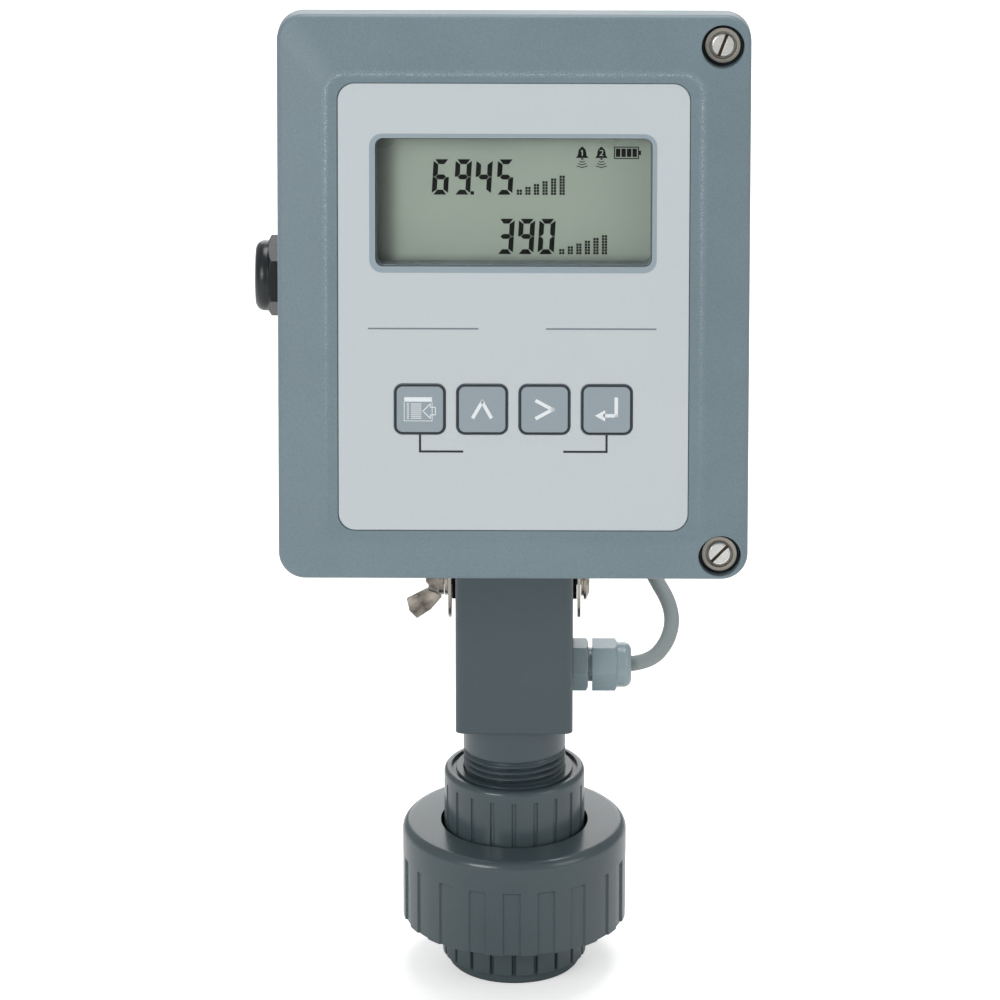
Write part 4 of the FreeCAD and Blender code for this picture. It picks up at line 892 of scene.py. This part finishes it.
SEGMENTS = {
    "0": "abcdef",
    "3": "abcdg",
    "4": "bcfg",
    "5": "acdfg",
    "6": "acdefg",
    "9": "abcdfg",
}
DIGIT_WIDTH = 5.1
DIGIT_HEIGHT = 11.2
DIGIT_LEAN = math.tan(math.radians(3.3))
SEGMENT_WIDTH = 1.55
SEGMENT_GAP = 0.12
SEGMENT_CUT = 0.4
UPPER_LINE = 138.3
LOWER_LINE = 119.5
UPPER_DIGITS = (("6", -25.7), ("9", -18.8), ("4", -12.3), ("5", -5.6))
LOWER_DIGITS = (("3", -5.4), ("9", 1.0), ("0", 7.4))
UPPER_BARS = 0.9
LOWER_BARS = 14.2
POINT_LEFT = -13.55
POINT_SIZE = 1.1
BELLS = (("1", 21.3), ("2", 27.3))
BELL_HEIGHT = 151.5
BELL_NUMBER_HEIGHT = 151.6
BATTERY_BOX = (31.2, 149.7, 39.0, 153.6)


def digit(character, left, low):
    """The lit segments of one numeral, mitred where they meet, with a slight lean."""
    wide, high, stem = DIGIT_WIDTH, DIGIT_HEIGHT, SEGMENT_WIDTH
    half = stem / 2
    middle = high / 2
    gap = SEGMENT_GAP
    end = SEGMENT_CUT + gap

    def across(points):
        return [(wide - x, y) for x, y in points]

    def down(points):
        return [(x, high - y) for x, y in points]

    top = [(end, high), (wide - end, high), (wide - stem - gap, high - stem), (stem + gap, high - stem)]
    side = [(0, high - end), (0, middle + gap / 2), (half, middle + gap / 2),
            (stem, middle + half + gap / 2), (stem, high - stem - gap)]
    bar = [(half + gap, middle), (stem + gap, middle + half), (wide - stem - gap, middle + half),
           (wide - half - gap, middle), (wide - stem - gap, middle - half), (stem + gap, middle - half)]
    parts = {
        "a": top,
        "b": across(side),
        "c": across(down(side)),
        "d": down(top),
        "e": down(side),
        "f": side,
        "g": bar,
    }
    lit = [parts[letter] for letter in SEGMENTS[character]]
    return [[(left + x + y * DIGIT_LEAN, low + y) for x, y in points] for points in lit]


def dot_bars(left, low, bars=6, pitch=0.89, size=0.74):
    """A small bar graph of square dots: each bar is two dots wide and one dot higher than the last."""
    shapes = []
    for bar in range(bars):
        for column in range(2):
            for row in range(bar + 2):
                x = left + (3 * bar + column) * pitch
                y = low + row * pitch
                shapes.append(box(x, y, x + size, y + size))
    return shapes


def bell(x, y):
    """A bell with its clapper, and three waves below it."""
    body = [(-0.3, 2.0), (-0.45, 1.7), (-1.0, 1.2), (-1.25, 0.3), (-1.35, -0.7), (-2.0, -1.5),
            (2.0, -1.5), (1.35, -0.7), (1.25, 0.3), (1.0, 1.2), (0.45, 1.7), (0.3, 2.0)]
    clapper = [(-0.5, -1.62), (0.5, -1.62), (0.25, -2.05), (-0.25, -2.05)]
    shapes = [moved(body, x, y), moved(clapper, x, y)]
    for i, reach in enumerate((0.7, 1.15, 1.6)):
        height = -2.85 - 0.85 * i
        bend = 0.3 + 0.1 * i
        shapes.append(stroke((x - reach, y + height + bend), (x, y + height), 0.26))
        shapes.append(stroke((x, y + height), (x + reach, y + height + bend), 0.26))
    return shapes


def small_number(character, x, y):
    """A 1 or 2 of a few strokes, small enough to sit in a bell."""
    if character == "1":
        return [box(x - 0.15, y - 0.9, x + 0.2, y + 0.9), stroke((x - 0.35, y + 0.55), (x, y + 0.8), 0.25)]
    return [
        stroke((x - 0.45, y + 0.75), (x + 0.4, y + 0.75), 0.28),
        stroke((x + 0.4, y + 0.7), (x + 0.4, y + 0.05), 0.28),
        stroke((x + 0.35, y), (x - 0.4, y - 0.75), 0.28),
        stroke((x - 0.45, y - 0.8), (x + 0.45, y - 0.8), 0.28),
    ]


def battery_mark(left, low, right, high):
    """A battery with four full cells."""
    shapes = open_box(left, low, right, high, 0.3)
    middle = (low + high) / 2
    shapes.append(box(right, middle - 0.7, right + 0.65, middle + 0.7))
    step = (right - left - 0.9) / 4
    for i in range(4):
        start = left + 0.6 + i * step
        shapes.append(box(start, low + 0.65, start + step - 0.35, high - 0.65))
    return shapes


def add_display():
    shapes = []
    for digits, low in ((UPPER_DIGITS, UPPER_LINE), (LOWER_DIGITS, LOWER_LINE)):
        for character, left in digits:
            shapes += digit(character, left, low)
    shapes.append(box(POINT_LEFT, UPPER_LINE, POINT_LEFT + POINT_SIZE, UPPER_LINE + POINT_SIZE))
    shapes += dot_bars(UPPER_BARS, UPPER_LINE)
    shapes += dot_bars(LOWER_BARS, LOWER_LINE)
    numbers = []
    for character, across in BELLS:
        shapes += bell(across, BELL_HEIGHT)
        numbers += small_number(character, across, BELL_NUMBER_HEIGHT)
    shapes += battery_mark(*BATTERY_BOX)
    printed("lcd_marks", shapes, LCD_FACE, "cover", "lcd_green", INK_LCD)
    printed("lcd_numbers", numbers, LCD_FACE + PRINT_THICKNESS, "cover", "lcd_green", INK_LCD_LIGHT)


LINING_OUTSIDE = 0.05
LINING_INSIDE = 0.5
LINING_CORNER = 2.2
LINING_LIFT = 0.05
LINING_GAP = 0.1


def add_window_lining():
    """A frame that closes the space between the window and the display."""
    outer = window_outline(LINING_OUTSIDE, WINDOW_CORNER)
    inner = window_outline(LINING_INSIDE, LINING_CORNER)
    window_back = corners_of("display_window")[0].z
    work = bmesh.new()
    add_band(work, outer, inner, LCD_FACE + LINING_LIFT, window_back - LINING_GAP)
    make_from("window_lining", work, "cover", "gasket_foam", WINDOW_WALL)


add_display()
add_window_lining()


# Cover screws: painted shade as a dark fill in their slots, and painted shadow as a dark ring round their ferrules

SLOT_LEANS = {"lower": 45, "upper": 21}
SLOT_DEPTH = 1.0
SLOT_FILL = 0.55
SLOT_REACH = 3.2
SLOT_WIDTH = 0.96
RECESS_RADIUS = 6.6
FERRULE_RADIUS = 5.6
RING_LIFT = 0.02
RING_TOP = 0.3


def add_screw_details():
    recess_floor = corners_of("screw_ferrules")[0].z
    for end, degrees in SLOT_LEANS.items():
        place = HOUSING.inverted() @ Vector(joint(f"{end}_screw_turn")["pos_m"])
        x, y = place.x / MM, place.y / MM
        slot_floor = corners_of(f"cover_screw_{end}")[1].z - SLOT_DEPTH
        lean = math.radians(degrees)
        dx, dy = SLOT_REACH * math.sin(lean), SLOT_REACH * math.cos(lean)
        work = bmesh.new()
        # Painted shade: a dark fill in the bottom of each slot.
        slot = stroke((x - dx, y - dy), (x + dx, y + dy), SLOT_WIDTH)
        add_prism(work, slot, slot_floor, slot_floor + SLOT_FILL)
        make_from(f"screw_slot_shade_{end}", work, f"{end}_screw", "stainless", SLOT_SHADOW)
        work = bmesh.new()
        outer, inner = circle_points(x, y, RECESS_RADIUS), circle_points(x, y, FERRULE_RADIUS)
        add_band(work, outer, inner, recess_floor + RING_LIFT, recess_floor + RING_TOP)
        make_from(f"recess_ring_{end}", work, "cover", "gasket_foam", RECESS_SHADOW)


add_screw_details()


# Floor, light and sky, in metres: the floor looks lighter to the camera than its light makes it

FLOOR_HALF = 12.0
FLOOR_LIFT = 0.45
SKY_STRENGTH = 0.42
AIM = Vector((0, 0, 0.2))
LAMPS = {
    "key_light": ((-1.4, -2.0, 1.2), 1.2, 23),
    "fill_light": ((2.2, -1.4, 1.2), 1.6, 11),
    "top_light": ((0.2, 0.6, 2.4), 1.4, 28),
    "back_light": ((0.0, 2.4, 0.9), 1.8, 13),
}


def floor_paper():
    made, tree, shader, place = surface_start("floor_paper")
    tone = ramp(tree, noise(tree, place, 30.0), [(0.3, grey(0.93)), (0.7, grey(0.95))])
    tree.links.new(tone, shader.inputs["Base Color"])
    shader.inputs["Roughness"].default_value = 0.9
    shader.inputs["Specular IOR Level"].default_value = 0.0
    path = tree.nodes.new("ShaderNodeLightPath")
    lift = maths(tree, "MULTIPLY", path.outputs["Is Camera Ray"], FLOOR_LIFT)
    shader.inputs["Emission Color"].default_value = WHITE
    tree.links.new(lift, shader.inputs["Emission Strength"])
    return made


def add_floor():
    work = bmesh.new()
    signs = ((-1, -1), (1, -1), (1, 1), (-1, 1))
    work.faces.new([work.verts.new((x * FLOOR_HALF, y * FLOOR_HALF, 0.0)) for x, y in signs])
    floor = bpy.data.objects.new("floor", from_bmesh("floor", work))
    bpy.context.scene.collection.objects.link(floor)
    floor.data.materials.append(floor_paper())


def add_lights():
    for name, (place, size, power) in LAMPS.items():
        lamp = bpy.data.lights.new(name, "AREA")
        lamp.shape = "DISK"
        lamp.size = size
        lamp.energy = power
        item = bpy.data.objects.new(name, lamp)
        item.location = place
        item.rotation_euler = (AIM - Vector(place)).to_track_quat("-Z", "Y").to_euler()
        bpy.context.scene.collection.objects.link(item)


def add_sky():
    world = bpy.data.worlds.new("sky")
    bpy.context.scene.world = world
    world.use_nodes = True
    sky = world.node_tree.nodes["Background"]
    sky.inputs["Color"].default_value = WHITE
    sky.inputs["Strength"].default_value = SKY_STRENGTH


add_floor()
add_lights()
add_sky()
bpy.context.scene.view_settings.view_transform = "Standard"
